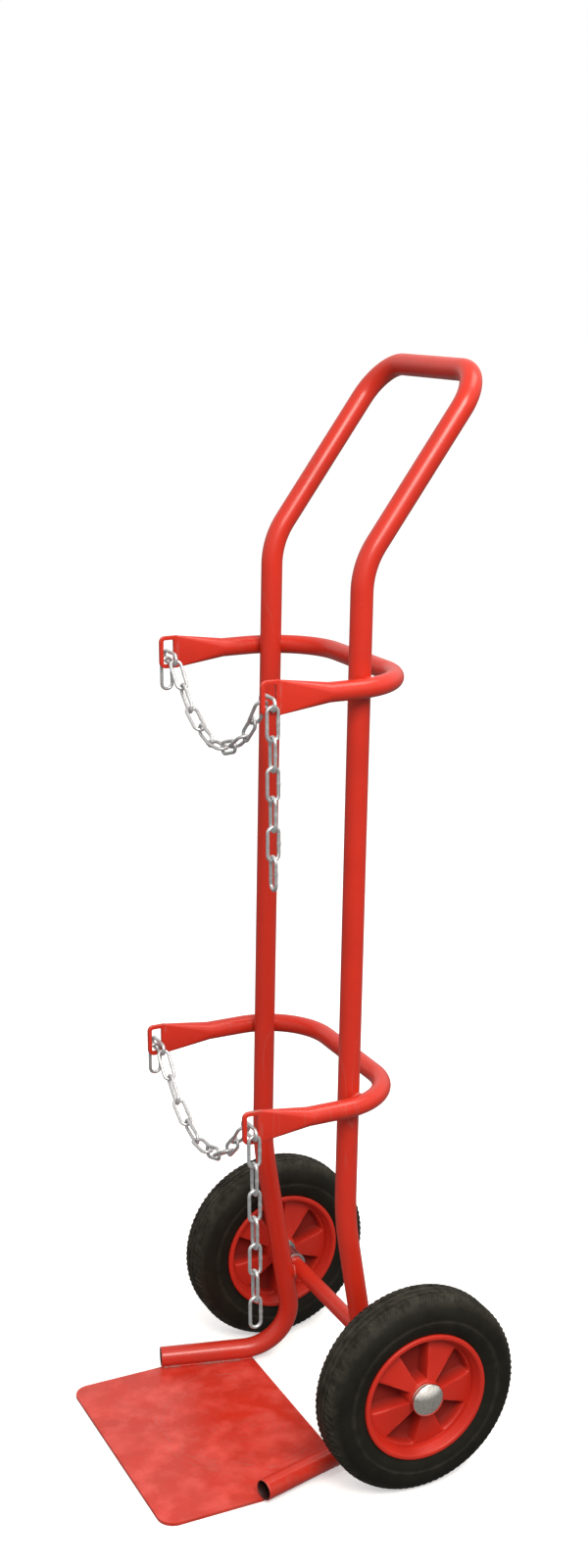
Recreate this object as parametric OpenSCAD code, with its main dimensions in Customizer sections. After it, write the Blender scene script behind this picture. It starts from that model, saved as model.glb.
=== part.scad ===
// Gas cylinder trolley: tube frame, toe plate, two wheels, two retaining hoops with chains.
// Millimetres. Z is up from the floor, the toe plate points to -Y, the handle to +Y.

/* [Frame tube] */
// Outside diameter of the frame tube
tube_d = 25; // [22:0.5:28]
// Wall of the frame tube
tube_t = 2; // [1.5:0.1:2.5]
// Distance between the centre lines of the two rails
rail_gap = 230; // [210:1:250]
// Lean of the rails from the vertical, in degrees
rail_lean = 1.33; // [0.5:0.01:2.5]
// Distance of the rails behind the middle of the load, at the kick
rail_back = 73.3; // [68:0.1:80]
// Height where the rails kick back towards the axle
kick_z = 311; // [290:1:330]
// Lean of the kicked part from the vertical, in degrees
kick_lean = 8.7; // [7:0.1:10]
// Bend radius of the kick
kick_r = 350; // [250:5:400]
// Bend radius at the foot of each rail
foot_r = 60; // [50:1:70]

/* [Handle] */
// Height of the centre line of the handle bar
bar_z = 1270; // [1200:1:1320]
// Height where the handle bends back
handle_z = 1070; // [1040:1:1090]
// Lean of the handle arms from the vertical, in degrees
handle_lean = 36; // [30:0.5:42]
// Bend radius where the handle leans back
lean_r = 90; // [70:1:110]
// Bend radius of the handle corners
corner_r = 48; // [40:1:60]

/* [Toe] */
// Width of the toe plate
plate_w = 314; // [300:1:330]
// Thickness of the toe plate
plate_t = 4; // [3:0.5:6]
// Distance of the plate's front edge ahead of the middle of the load
plate_front = 175.5; // [160:0.5:190]
// Distance of the plate's rear edge behind the middle of the load
plate_rear = 62; // [40:1:66]
// Corner radius of the front edge
plate_r = 15; // [8:1:25]
// Distance of each open toe tube end from the middle plane
toe_x = 160; // [150:0.5:165]
// Distance of the open toe tube ends ahead of the middle of the load
toe_front = 53; // [40:1:70]

/* [Hoops] */
// Outside diameter of the hoop tube
hoop_d = 22; // [20:0.5:24]
// Wall of the hoop tube
hoop_t = 2; // [1.5:0.1:2.5]
// Bend radius of the hoop corners
hoop_r = 80; // [70:1:90]
// Where the rails sit in the hoop corners, in degrees from straight back
seat_angle = 69; // [64:1:74]
// Height of the upper hoop
upper_z = 943; // [900:1:970]
// Height of the lower hoop
lower_z = 462; // [430:1:500]
// Length of the upper hoop from back bar to arm tips
upper_reach = 190; // [180:1:210]
// Length of the lower hoop from back bar to arm tips
lower_reach = 204; // [190:1:215]
// Height of the flattened arm tip
eye_h = 38; // [35:0.5:40]
// Thickness of the flattened arm tip
eye_t = 5; // [4:0.5:5.5]
// Corner radius of the arm tip
eye_r = 7; // [4:0.5:9]
// Length over which the round tube flares into the flat tip
flare = 58; // [40:1:65]
// Width of the chain slot
slot_w = 13; // [12:0.5:14]
// Height of the chain slot
slot_h = 29; // [27:0.5:31]
// Width of the metal on each side of the slot
slot_rim = 4.5; // [4:0.5:6]

/* [Chains] */
// Wire of the chain links
wire_d = 4; // [3.5:0.1:4.2]
// Inside length of a link
link_len = 33; // [31:0.5:35]
// Inside width of a link
link_w = 9; // [8.5:0.1:9.5]
// Links that hang between the two arms of a hoop
span_links = 9; // [9, 11]
// Links in the loose end of the upper chain
upper_tail_links = 6; // [3:1:8]
// Links in the loose end of the lower chain
lower_tail_links = 7; // [3:1:8]

/* [Wheels] */
// Diameter of the tyre
wheel_d = 244; // [230:1:260]
// Width of the tyre
tyre_w = 58; // [52:0.5:62]
// Rounding of the tyre's shoulders
tyre_r = 22; // [14:0.5:24]
// Height of the tyre's widest place above the rim
bulge_h = 16; // [12:0.5:18]
// How far the tyre's side wall draws in from there to the rim
bulge_in = 4.2; // [2:0.1:5]
// Diameter over the rim's lip
rim_d = 156; // [145:1:160]
// Distance between the middle planes of the wheels
track = 387; // [380:1:410]
// Spokes in a rim
spokes = 5; // [4:1:7]
// Share of each rim sector that is a pocket
pocket_share = 0.46; // [0.3:0.01:0.6]
// Turn of the rims as they stand, in degrees
rim_turn = -26; // [-36:1:36]
// Diameter of the axle
axle_d = 20; // [18:0.5:22]
// Diameter of the hub
hub_d = 40; // [38:0.5:46]
// Length of the hub
hub_len = 50; // [44:0.5:54]
// Diameter of the domed axle cap
cap_d = 40; // [36:0.5:44]
// Height of the dome of the axle cap
dome_h = 8; // [6:0.5:10]

/* [Fits] */
// Seam between pieces that are welded together
weld_gap = 0.3; // [0.2:0.05:0.4]
// Radial play of the bushes on the axle
run_gap = 0.05; // [0.02:0.01:0.09]
// Play between neighbouring chain links
link_gap = 0.3; // [0.3:0.05:0.4]
// Seam between pieces that sit on one another
seat_gap = 0.2; // [0.15:0.05:0.3]
// Side play of the wheels on the axle
side_gap = 0.4; // [0.3:0.1:0.6]

/* [Hidden] */
$fn = 64;

rail_x = rail_gap / 2;
// Step between faces that would otherwise lie on one another, and reach of a shape into its neighbour
hair = 0.05;
lap = 1;
wheel_r = wheel_d / 2;
tube_r = tube_d / 2;

// Places behind the middle of the load, before the whole is centred
axle_back = rail_back + (kick_z - wheel_r) * tan(kick_lean)
    + (tube_r + axle_d / 2 + weld_gap) / cos(kick_lean);
bar_back = rail_back + (handle_z - kick_z) * tan(rail_lean) + (bar_z - handle_z) * tan(handle_lean);
rear = max(axle_back + wheel_r, bar_back + tube_r);
load_y = (plate_front - rear) / 2;
axle_y = load_y + axle_back;

// Corner points of a rail from its open toe to the handle
toe_z = plate_t + seat_gap + tube_r;
foot_y = load_y + rail_back + (kick_z - toe_z) * tan(kick_lean);
lean_cut = lean_r * tan((handle_lean - rail_lean) / 2);
handle_stub = 10;
joint_z = handle_z - (lean_cut + handle_stub) * cos(rail_lean);
function rail_y(z) = load_y + rail_back + (z - kick_z) * tan(rail_lean);
toe_end = [toe_x, load_y - toe_front, toe_z];
foot = [rail_x, foot_y, toe_z];
kick = [rail_x, rail_y(kick_z), kick_z];
joint = [rail_x, rail_y(joint_z), joint_z];
lean = [rail_x, rail_y(handle_z), handle_z];
corner = [rail_x, load_y + bar_back, bar_z];

// Hoops: the rails sit inside the rear corners
seat = hoop_r - hoop_d / 2 - tube_r - weld_gap;
arm_x = rail_x + hoop_r - seat * sin(seat_angle);
function hoop_back(z) = rail_y(z) - seat * cos(seat_angle) + hoop_r;
eye_len = slot_w + 2 * slot_rim;
upper_tip = hoop_back(upper_z) - upper_reach;
lower_tip = hoop_back(lower_z) - lower_reach;

// Chain: the eye link lies in the slot, the span hangs from its inner end
link_r = (link_w + wire_d) / 2;
link_half = (link_len - link_w) / 2;
pitch = link_len - link_gap;
hook = (link_w - link_gap) / 2;
eye_room = 1.5;
eye_out = eye_t / 2 + eye_room + wire_d / 2;
eye_link_x = arm_x + eye_out - link_half;
span_x = eye_link_x - link_half;
eye_link_drop = slot_h / 2 - link_gap - wire_d / 2 - link_r;
function fall(s, i) = atan(s * (i - (span_links - 1) / 2));
function span_half(s, i = 0) = i >= span_links ? hook * cos(fall(s, 0))
    : pitch / 2 * cos(fall(s, i)) + span_half(s, i + 1);
function slack(lo, hi, n = 40) = n == 0 ? (lo + hi) / 2
    : span_half((lo + hi) / 2) > span_x ? slack((lo + hi) / 2, hi, n - 1)
    : slack(lo, (lo + hi) / 2, n - 1);
steepest = 3;
sag = slack(0, steepest);
function knot(i) = i == 0 ? [span_x - hook * cos(fall(sag, 0)), hook * sin(fall(sag, 0))]
    : knot(i - 1) + pitch * [-cos(fall(sag, i - 1)), sin(fall(sag, i - 1))];

// Wheel: places along the axle from the wheel's middle plane
wheel_x = track / 2;
flange_t = 2;
flange_rim = 2;
washer_t = 2;
washer_d = axle_d + 14;
spacer_d = axle_d + 8;
spacer_start = rail_x + tube_r + 2;
bush_d = axle_d + 10;
bush_len = 15;
flange_end = hub_len / 2 + flange_t;
washer_end = flange_end + side_gap + washer_t;
cap_x = wheel_x + washer_end + side_gap;
skirt = 3;
cap_grip = 5;
axle_end = cap_x + cap_grip;
lip_w = tyre_w / 2 - 1;
lip_t = 6;
lip_h = 5;
lip_crest = 5.5;
barrel_t = 6;
seat_d = rim_d - 2 * lip_h;
barrel_r = seat_d / 2 - barrel_t;
lip_round = 2.5;
lip_foot = 3;
web_rim = 14;
web_hub = hub_len / 2 - 2;
web_floor = 4;
pocket_rim = 4;
pocket_hub = 2;
groove = 2.5;
groove_pitch = tyre_w / 7;
ridge_r = 1.2;
ridge_h = 0.45;

function unit(v) = v / norm(v);
function across(v) = unit(cross(v, abs(v[2]) < 0.9 ? [0, 0, 1] : [1, 0, 0]));
function turn_of(a, b) = acos(max(-1, min(1, a * b)));
function dir(pts, i) = unit(pts[i + 1] - pts[i]);
function cut(pts, radii, i) = (i == 0 || i == len(pts) - 1) ? 0
    : radii[i] * tan(turn_of(dir(pts, i - 1), dir(pts, i)) / 2);
// Direction at an inner point from the tube towards the middle of its bend
function inward(pts, i) = unit(dir(pts, i) - (dir(pts, i - 1) * dir(pts, i)) * dir(pts, i - 1));

// Carries local X, Y, Z to the given directions at the given place
module put(x, y, z, at) {
    multmatrix([for (i = [0 : 2]) [x[i], y[i], z[i], at[i]]])
        children();
}

module ring(d, t) {
    difference() {
        circle(d = d);
        circle(d = d - 2 * t);
    }
}

// Tube along a chain of points, with a bend radius at each inner point.
// The straights are a hair thinner than the bends and reach a little into them.
module run(pts, radii, d, t) {
    last = len(pts) - 1;
    for (i = [0 : last - 1]) {
        v = dir(pts, i);
        start = pts[i] + v * (cut(pts, radii, i) - (i == 0 ? 0 : lap));
        stop = pts[i + 1] - v * (cut(pts, radii, i + 1) - (i + 1 == last ? 0 : lap));
        x = across(v);
        put(x, cross(v, x), v, start)
            linear_extrude(norm(stop - start))
                ring(d - 2 * hair, t - 2 * hair);
    }
    for (i = [1 : last - 1]) {
        a = dir(pts, i - 1);
        b = dir(pts, i);
        n = inward(pts, i);
        put(-n, a, cross(-n, a), pts[i] - a * cut(pts, radii, i) + n * radii[i])
            rotate_extrude(angle = turn_of(a, b))
                translate([radii[i], 0])
                    ring(d, t);
    }
}

module rail() {
    run([toe_end, foot, kick, joint - [0, 0, weld_gap]], [0, foot_r, kick_r, 0], tube_d, tube_t);
}

module left_rail() {
    color("red")
        rail();
}

module right_rail() {
    color("red")
        mirror([1, 0, 0])
            rail();
}

function flip(p) = [-p[0], p[1], p[2]];

module handle() {
    color("red")
        run([joint, lean, corner, flip(corner), flip(lean), flip(joint)],
            [0, lean_r, corner_r, corner_r, lean_r, 0], tube_d, tube_t);
}

// Flat tip with its slot, drawn with the tip's front at y = 0 and the tube's centre line at z = 0
module eye() {
    place = eye_h / 2 - eye_r;
    slot_r = 2;
    rotate([90, 0, 90])
        translate([0, 0, -eye_t / 2])
            linear_extrude(eye_t)
                difference() {
                    union() {
                        translate([eye_r, -eye_h / 2])
                            square([eye_len - eye_r + lap, eye_h]);
                        translate([0, -place])
                            square([eye_r + lap, 2 * place]);
                        for (s = [-1, 1])
                            translate([eye_r, s * place])
                                circle(eye_r);
                    }
                    translate([slot_rim + slot_r, -slot_h / 2])
                        square([slot_w - 2 * slot_r, slot_h]);
                    translate([slot_rim, slot_r - slot_h / 2])
                        square([slot_w, slot_h - 2 * slot_r]);
                    for (y = [slot_rim + slot_r, slot_rim + slot_w - slot_r], s = [-1, 1])
                        translate([y, s * (slot_h / 2 - slot_r)])
                            circle(slot_r);
                }
}

// Flare from the flat tip into the round tube
module fishtail() {
    step = 2 * hair;
    hull() {
        translate([step - eye_t / 2, eye_len - lap / 2, step - eye_h / 2])
            cube([eye_t - 2 * step, lap, eye_h - 2 * step]);
        translate([0, eye_len + flare, 0])
            rotate([-90, 0, 0])
                cylinder(d = hoop_d - 2 * step, h = lap, $fn = 40);
    }
}

module hoop(z, reach) {
    back = hoop_back(z);
    tip = back - reach;
    root = tip + eye_len + flare;
    run([[arm_x, root, z], [arm_x, back, z], [-arm_x, back, z], [-arm_x, root, z]],
        [0, hoop_r, hoop_r, 0], hoop_d, hoop_t);
    for (s = [-1, 1])
        translate([s * arm_x, tip, z]) {
            eye();
            fishtail();
        }
}

module upper_hoop() {
    color("red")
        hoop(upper_z, upper_reach);
}

module lower_hoop() {
    color("red")
        hoop(lower_z, lower_reach);
}

module toe_plate() {
    front = load_y - plate_front;
    turn = load_y - toe_front;
    stop = load_y + plate_rear;
    half = plate_w / 2;
    stop_x = toe_x + (foot[0] - toe_x) * (stop - toe_end[1]) / (foot[1] - toe_end[1]);
    color("red")
        linear_extrude(plate_t)
            union() {
                polygon([[plate_r - half, front], [half - plate_r, front], [half, front + plate_r],
                    [half, turn], [stop_x, stop], [-stop_x, stop], [-half, turn], [-half, front + plate_r]]);
                for (s = [-1, 1])
                    translate([s * (half - plate_r), front + plate_r])
                        circle(plate_r);
            }
}

module axle() {
    color("red")
        translate([-axle_end, axle_y, wheel_r])
            rotate([0, 90, 0])
                cylinder(d = axle_d, h = 2 * axle_end);
}

// Stands a shape turned about Z on the axle, at a place along it on the left or right side
module on_axle(x, side) {
    mirror([side < 0 ? 1 : 0, 0, 0])
        translate([x, axle_y, wheel_r])
            rotate([0, 90, 0])
                children();
}

module pipe(d, bore, len) {
    difference() {
        cylinder(d = d, h = len);
        translate([0, 0, -lap])
            cylinder(d = bore, h = len + 2 * lap);
    }
}

module spacer(side) {
    spacer_end = wheel_x - washer_end - side_gap;
    color("silver")
        on_axle(spacer_start, side)
            pipe(spacer_d, axle_d + 2 * seat_gap, spacer_end - spacer_start);
}

module left_spacer() spacer(1);
module right_spacer() spacer(-1);

module washer(x, side) {
    color("silver")
        on_axle(x, side)
            pipe(washer_d, axle_d + 2 * seat_gap, washer_t);
}

module left_inner_washer() washer(wheel_x - washer_end, 1);
module right_inner_washer() washer(wheel_x - washer_end, -1);
module left_outer_washer() washer(wheel_x + washer_end - washer_t, 1);
module right_outer_washer() washer(wheel_x + washer_end - washer_t, -1);

module cap(side) {
    dome_r = (pow(cap_d / 2, 2) + pow(dome_h, 2)) / (2 * dome_h);
    color("silver")
        on_axle(cap_x, side)
            rotate_extrude()
                difference() {
                    union() {
                        square([cap_d / 2, skirt]);
                        intersection() {
                            translate([0, skirt + dome_h - dome_r])
                                circle(dome_r);
                            translate([0, skirt])
                                square([cap_d, cap_d]);
                        }
                    }
                    translate([-lap, -lap])
                        square([axle_d / 2 + seat_gap + lap, cap_grip + seat_gap + lap]);
                }
}

module left_cap() cap(1);
module right_cap() cap(-1);

// Half of the rim's section on one side of its middle plane, radius along X
module rim_section() {
    polygon([[barrel_r, -lap], [seat_d / 2, -lap], [seat_d / 2, lip_w - lip_t], [rim_d / 2, lip_w - lip_t],
        [rim_d / 2, lip_w - lip_round], [rim_d / 2 - lip_round, lip_w], [rim_d / 2 - lip_crest, lip_w],
        [barrel_r, web_rim + lip_foot]]);
    translate([rim_d / 2 - lip_round, lip_w - lip_round])
        circle(lip_round);
    polygon([[hub_d / 2 - lap, -lap], [barrel_r + lap, -lap], [barrel_r + lap, web_rim],
        [hub_d / 2 - lap, web_hub]]);
    translate([bush_d / 2, -lap])
        square([(hub_d - bush_d) / 2, hub_len / 2 + lap]);
}

// Wedge between two spokes, from the web's floor outwards
module rim_pocket() {
    half = 180 / spokes * pocket_share;
    translate([0, 0, web_floor / 2])
        linear_extrude(hub_len)
            difference() {
                intersection() {
                    circle(barrel_r - pocket_rim);
                    polygon([[0, 0], rim_d * [cos(half), sin(half)], rim_d * [cos(half), -sin(half)]]);
                }
                circle(hub_d / 2 + pocket_hub);
            }
}

module rim(side) {
    color("red")
        on_axle(wheel_x, side)
            rotate([0, 0, rim_turn])
                difference() {
                    rotate_extrude()
                        for (s = [0, 1])
                            mirror([0, s])
                                rim_section();
                    for (i = [0 : spokes - 1], s = [0, 1])
                        mirror([0, 0, s])
                            rotate([0, 0, i * 360 / spokes])
                                rim_pocket();
                }
}

module left_rim() rim(1);
module right_rim() rim(-1);

// Half of the tyre's section on one side of its middle plane, radius along X
module tyre_section() {
    half = tyre_w / 2;
    inner_r = seat_d / 2 + seat_gap;
    wall_r = rim_d / 2 + seat_gap;
    wide_r = wall_r + bulge_h;
    wall_arc = (pow(bulge_h, 2) + pow(bulge_in, 2)) / (2 * bulge_in);
    // The shoulder's rounding ends above the widest place and stays within the rubber
    shoulder_r = min(tyre_r, wheel_r - wide_r, (wheel_r - inner_r) / 2);
    translate([inner_r, -lap])
        square([wall_r - seat_d / 2, lip_w - lip_t - seat_gap + lap]);
    intersection() {
        translate([wide_r, half - wall_arc])
            circle(wall_arc, $fn = 128);
        translate([wall_r, -lap])
            square([bulge_h, half + 2 * lap]);
    }
    translate([wide_r - lap, -lap])
        square([wheel_r - shoulder_r - wide_r + lap, half + lap]);
    translate([wide_r, -lap])
        square([wheel_r - wide_r, half - shoulder_r + lap]);
    translate([wheel_r - shoulder_r, half - shoulder_r])
        circle(shoulder_r);
    translate([wide_r, half - ridge_r + ridge_h])
        circle(ridge_r, $fn = 24);
}

module tyre(side) {
    color("black")
        on_axle(wheel_x, side)
            rotate_extrude()
                difference() {
                    for (s = [0, 1])
                        mirror([0, s])
                            tyre_section();
                    for (s = [-1, 0, 1])
                        translate([wheel_r - groove, s * groove_pitch - groove / 2])
                            square([groove + lap, groove]);
                }
}

module left_tyre() tyre(1);
module right_tyre() tyre(-1);

// Flanged bush: its flange's outer face is at the local top
module bush(side, outer) {
    color("white")
        on_axle(wheel_x, side)
            rotate([outer ? 0 : 180, 0, 0])
                rotate_extrude() {
                    translate([axle_d / 2 + run_gap, hub_len / 2 - bush_len])
                        square([bush_d / 2 - axle_d / 2 - run_gap, bush_len + flange_t]);
                    translate([axle_d / 2 + run_gap, hub_len / 2])
                        square([bush_d / 2 + flange_rim - axle_d / 2 - run_gap, flange_t]);
                }
}

module left_inner_bush() bush(1, false);
module right_inner_bush() bush(-1, false);
module left_outer_bush() bush(1, true);
module right_outer_bush() bush(-1, true);

// One chain link, long way along X, wide way along Y
module link() {
    for (s = [0, 1])
        mirror([s, 0, 0])
            translate([link_half, 0, 0])
                rotate([0, 0, -90])
                    rotate_extrude(angle = 180)
                        translate([link_r, 0])
                            circle(d = wire_d, $fn = 32);
    for (s = [-1, 1])
        translate([-link_half, s * link_r, 0])
            rotate([0, 90, 0])
                cylinder(d = wire_d, h = 2 * link_half, $fn = 32);
}

// Chain between the two eyes, with one link outside the right eye that keeps it there
module span_chain(z, tip) {
    color("silver")
        translate([0, tip + slot_rim + slot_w / 2, z - eye_link_drop]) {
            for (s = [-1, 1])
                translate([s * eye_link_x, 0, 0])
                    rotate([90, 0, 0])
                        link();
            for (i = [0 : span_links - 1]) {
                middle = (knot(i) + knot(i + 1)) / 2;
                translate([middle[0], 0, middle[1]])
                    rotate([0, fall(sag, i), 0])
                        rotate([i % 2 == 0 ? 0 : 90, 0, 0])
                            link();
            }
            translate([-arm_x - eye_out, 0, 0])
                hanging(0);
        }
}

// One link of a chain that hangs straight down from the eye link
module hanging(i) {
    translate([0, 0, -hook - pitch * (i + 0.5)])
        rotate([0, 90, 0])
            rotate([i % 2 == 0 ? 0 : 90, 0, 0])
                link();
}

module tail_chain(z, tip, links) {
    color("silver")
        translate([arm_x + eye_out, tip + slot_rim + slot_w / 2, z - eye_link_drop])
            for (i = [0 : links - 1])
                hanging(i);
}

module upper_chain() span_chain(upper_z, upper_tip);
module lower_chain() span_chain(lower_z, lower_tip);
module upper_tail() tail_chain(upper_z, upper_tip, upper_tail_links);
module lower_tail() tail_chain(lower_z, lower_tip, lower_tail_links);

left_rail();
right_rail();
handle();
upper_hoop();
lower_hoop();
toe_plate();
axle();
left_spacer();
right_spacer();
left_inner_washer();
right_inner_washer();
left_outer_washer();
right_outer_washer();
left_cap();
right_cap();
left_rim();
right_rim();
left_tyre();
right_tyre();
left_inner_bush();
right_inner_bush();
left_outer_bush();
right_outer_bush();
upper_chain();
lower_chain();
upper_tail();
lower_tail();
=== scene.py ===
import math
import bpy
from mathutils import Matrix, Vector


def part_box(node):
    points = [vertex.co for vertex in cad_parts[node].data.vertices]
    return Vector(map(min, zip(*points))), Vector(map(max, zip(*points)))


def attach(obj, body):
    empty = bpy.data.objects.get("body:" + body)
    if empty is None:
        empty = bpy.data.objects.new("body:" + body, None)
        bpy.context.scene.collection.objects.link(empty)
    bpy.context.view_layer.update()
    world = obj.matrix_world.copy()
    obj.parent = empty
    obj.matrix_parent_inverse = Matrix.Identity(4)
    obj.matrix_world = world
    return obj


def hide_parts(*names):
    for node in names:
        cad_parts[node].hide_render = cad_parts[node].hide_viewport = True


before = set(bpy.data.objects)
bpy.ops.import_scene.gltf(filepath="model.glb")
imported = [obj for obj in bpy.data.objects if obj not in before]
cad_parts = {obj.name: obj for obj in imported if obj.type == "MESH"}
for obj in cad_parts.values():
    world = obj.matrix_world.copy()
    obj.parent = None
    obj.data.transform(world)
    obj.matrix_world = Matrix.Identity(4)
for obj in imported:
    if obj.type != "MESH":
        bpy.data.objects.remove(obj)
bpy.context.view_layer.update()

from types import SimpleNamespace

import bmesh
import bpy
from mathutils import Matrix, Vector

bl_info = {
    "name": "Gas cylinder trolley",
    "version": (1, 0, 0),
    "blender": (4, 5, 0),
    "location": "View3D > Sidebar > Trolley",
    "description": "Dresses the trolley: tubes, hoops, toe plate, wheels, chains and welds",
    "category": "Object",
}

SEED = 7
TAU = 2 * math.pi
QUARTER = math.pi / 2
UP = Vector((0, 0, 1))
WHITE = (1.0, 1.0, 1.0, 1.0)
SIDES = (("left", 1), ("right", -1))

# Clearances between the pieces; all lengths are in metres
WELD_GAP = 0.0003
SEAT_GAP = 0.0002
SIDE_GAP = 0.0004
RUN_GAP = 0.00005
EYE_ROOM = 0.0015

# Frame: straight end of the handle, roundings of the cut tubes, the arms' pressed tips and slots
HANDLE_STUB = 0.010
TOE_EDGE = 0.0006
BUTT_EDGE = 0.00004
EYE_EDGE = 0.0005
EYE_FOLD = 0.0014
EYE_LAP = 0.0005
FLARE_LAP = 0.001
PRESS_GAP = 0.0001
SLOT_R = 0.002

# Welds: the rings' radius, the seams' cut-back ends and offsets, and the drops' step as a share of the bead
WELD_R = 0.0075
WELD_START = 0.004
WELD_STOP = 0.006
WELD_RISE = 0.0010
WELD_INNER = 0.0066
WELD_OUTER = 0.0013
BEAD_STEP = 0.4

# Axle set: walls and lengths of the spacers, washers, bushes and caps, and the roundings of turned edges
SPACER_T = 0.004
SPACER_GAP = 0.002
WASHER_T = 0.002
WASHER_RIM = 0.007
BUSH_T = 0.005
BUSH_LEN = 0.015
BUSH_EDGE = 0.0003
FLANGE = 0.002
CAP_GRIP = 0.005
CAP_SKIRT = 0.003
TURNED_EDGE = 0.0004
AXLE_EDGE = 0.0006

# Rims: hub end, web and pockets, barrel, lip, and the roundings along the profile
HUB_TAPER = 0.0008
HUB_ROOT = 0.0002
HUB_ROUNDS = (0.0006, 0.0015)
WEB_STEP = 0.002
WEB_RIM = 0.014
WEB_FLOOR = 0.002
POCKET_HUB = 0.002
POCKET_RIM = 0.004
POCKET_WALLS = (0.0016, 0.0023)
POCKET_DRAFT = math.radians(2.6)
BARREL_T = 0.006
RIM_EDGE = 0.0012
SEAT_EDGE = 0.0004
LIP_H = 0.005
LIP_T = 0.006
LIP_IN = 0.001
LIP_CREST = 0.0055
LIP_FOOT = 0.003
LIP_ROUNDS = (0.0010, 0.0014, 0.0016, 0.0025, 0.0004)

# Tyres: bead, bulge and ridge of the side walls, grooves, and the ribs on the shoulders
BEAD_EDGE = 0.0004
WALL_EDGE = 0.0006
BULGE_H = 0.016
BULGE_IN = 0.0042
RIDGE_H = 0.0008
RIDGE_W = 0.0013
GROOVE_HALF = 0.00125
GROOVE_EDGE = 0.00035
GROOVE_DEEP = 0.0025
RIB_ROOT = 0.0006
RIB_FOOT = 0.0017
RIB_TOP = 0.0010
RIB_END = 0.25
RIB_LEAN = 0.045


# Sizes and finishes

def length(name, text, value):
    """A size in metres."""
    return bpy.props.FloatProperty(name=name, description=text, default=value, unit="LENGTH", precision=5)


def angle(name, text, degrees):
    """An angle, given in degrees."""
    value = math.radians(degrees)
    return bpy.props.FloatProperty(name=name, description=text, default=value, subtype="ANGLE")


def count(name, text, value):
    """A number of like things."""
    return bpy.props.IntProperty(name=name, description=text, default=value, min=1)


def power(name, text, value):
    """The power of a lamp in watts."""
    return bpy.props.FloatProperty(name=name, description=text, default=value, unit="POWER")


def place(name, text, value):
    """A place in metres."""
    return bpy.props.FloatVectorProperty(name=name, description=text, default=value, subtype="TRANSLATION")


def tint(name, text, rgb):
    """A colour in linear light."""
    return bpy.props.FloatVectorProperty(
        name=name, description=text, default=(*rgb, 1.0), size=4, subtype="COLOR", min=0.0, max=1.0)


class TrolleyFrame(bpy.types.PropertyGroup):
    """Sizes of the welded tube frame."""

    tube_d: length("Tube", "Outside diameter of the frame tube", 0.025)
    tube_t: length("Tube wall", "Wall of the frame tube", 0.002)
    rail_gap: length("Rail gap", "Distance between the centre lines of the rails", 0.230)
    rail_lean: angle("Rail lean", "Lean of the rails from the vertical", 1.33)
    rail_back: length("Rail setback", "Distance of the rails behind the middle of the load", 0.0733)
    kick_z: length("Kick height", "Height where the rails kick back", 0.311)
    kick_lean: angle("Kick lean", "Lean of the kicked part", 8.7)
    kick_r: length("Kick bend", "Bend radius of the kick", 0.350)
    foot_r: length("Foot bend", "Bend radius at the foot of each rail", 0.060)
    bar_z: length("Bar height", "Height of the handle bar", 1.270)
    handle_z: length("Handle bend height", "Height where the handle bends back", 1.070)
    handle_lean: angle("Handle lean", "Lean of the handle arms", 36)
    lean_r: length("Lean bend", "Bend radius where the handle leans back", 0.090)
    corner_r: length("Corner bend", "Bend radius of the handle corners", 0.048)
    plate_w: length("Plate width", "Width of the toe plate", 0.314)
    plate_t: length("Plate thickness", "Thickness of the toe plate", 0.004)
    plate_front: length("Plate front", "Front edge of the plate ahead of the load's middle", 0.1755)
    plate_rear: length("Plate rear", "Rear edge of the plate behind the load's middle", 0.062)
    plate_r: length("Plate corners", "Corner radius of the plate's front edge", 0.020)
    plate_edge: length("Plate edge", "Rounding of the plate's edges", 0.0011)
    toe_x: length("Toe spread", "Distance of the open toe ends from the middle", 0.160)
    toe_front: length("Toe front", "Open toe ends ahead of the load's middle", 0.053)
    hoop_d: length("Hoop tube", "Outside diameter of the hoop tube", 0.022)
    hoop_r: length("Hoop bend", "Bend radius of the hoop corners", 0.080)
    seat_angle: angle("Rail seat", "Where the rails sit in the hoop corners", 69)
    upper_z: length("Upper hoop", "Height of the upper hoop", 0.943)
    lower_z: length("Lower hoop", "Height of the lower hoop", 0.462)
    upper_reach: length("Upper reach", "Length of the upper hoop, back bar to tips", 0.190)
    lower_reach: length("Lower reach", "Length of the lower hoop, back bar to tips", 0.204)
    eye_h: length("Eye height", "Height of the flattened arm tip", 0.038)
    eye_t: length("Eye thickness", "Thickness of the flattened arm tip", 0.005)
    eye_r: length("Eye corners", "Corner radius of the flattened arm tip", 0.007)
    flare: length("Flare", "Length of the flare from tube to tip", 0.058)
    slot_w: length("Slot width", "Width of the chain slot", 0.013)
    slot_h: length("Slot height", "Height of the chain slot", 0.029)
    slot_rim: length("Slot rim", "Metal on each side of the slot", 0.0045)
    bead: length("Weld bead", "Thickness of the weld beads", 0.0042)


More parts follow.
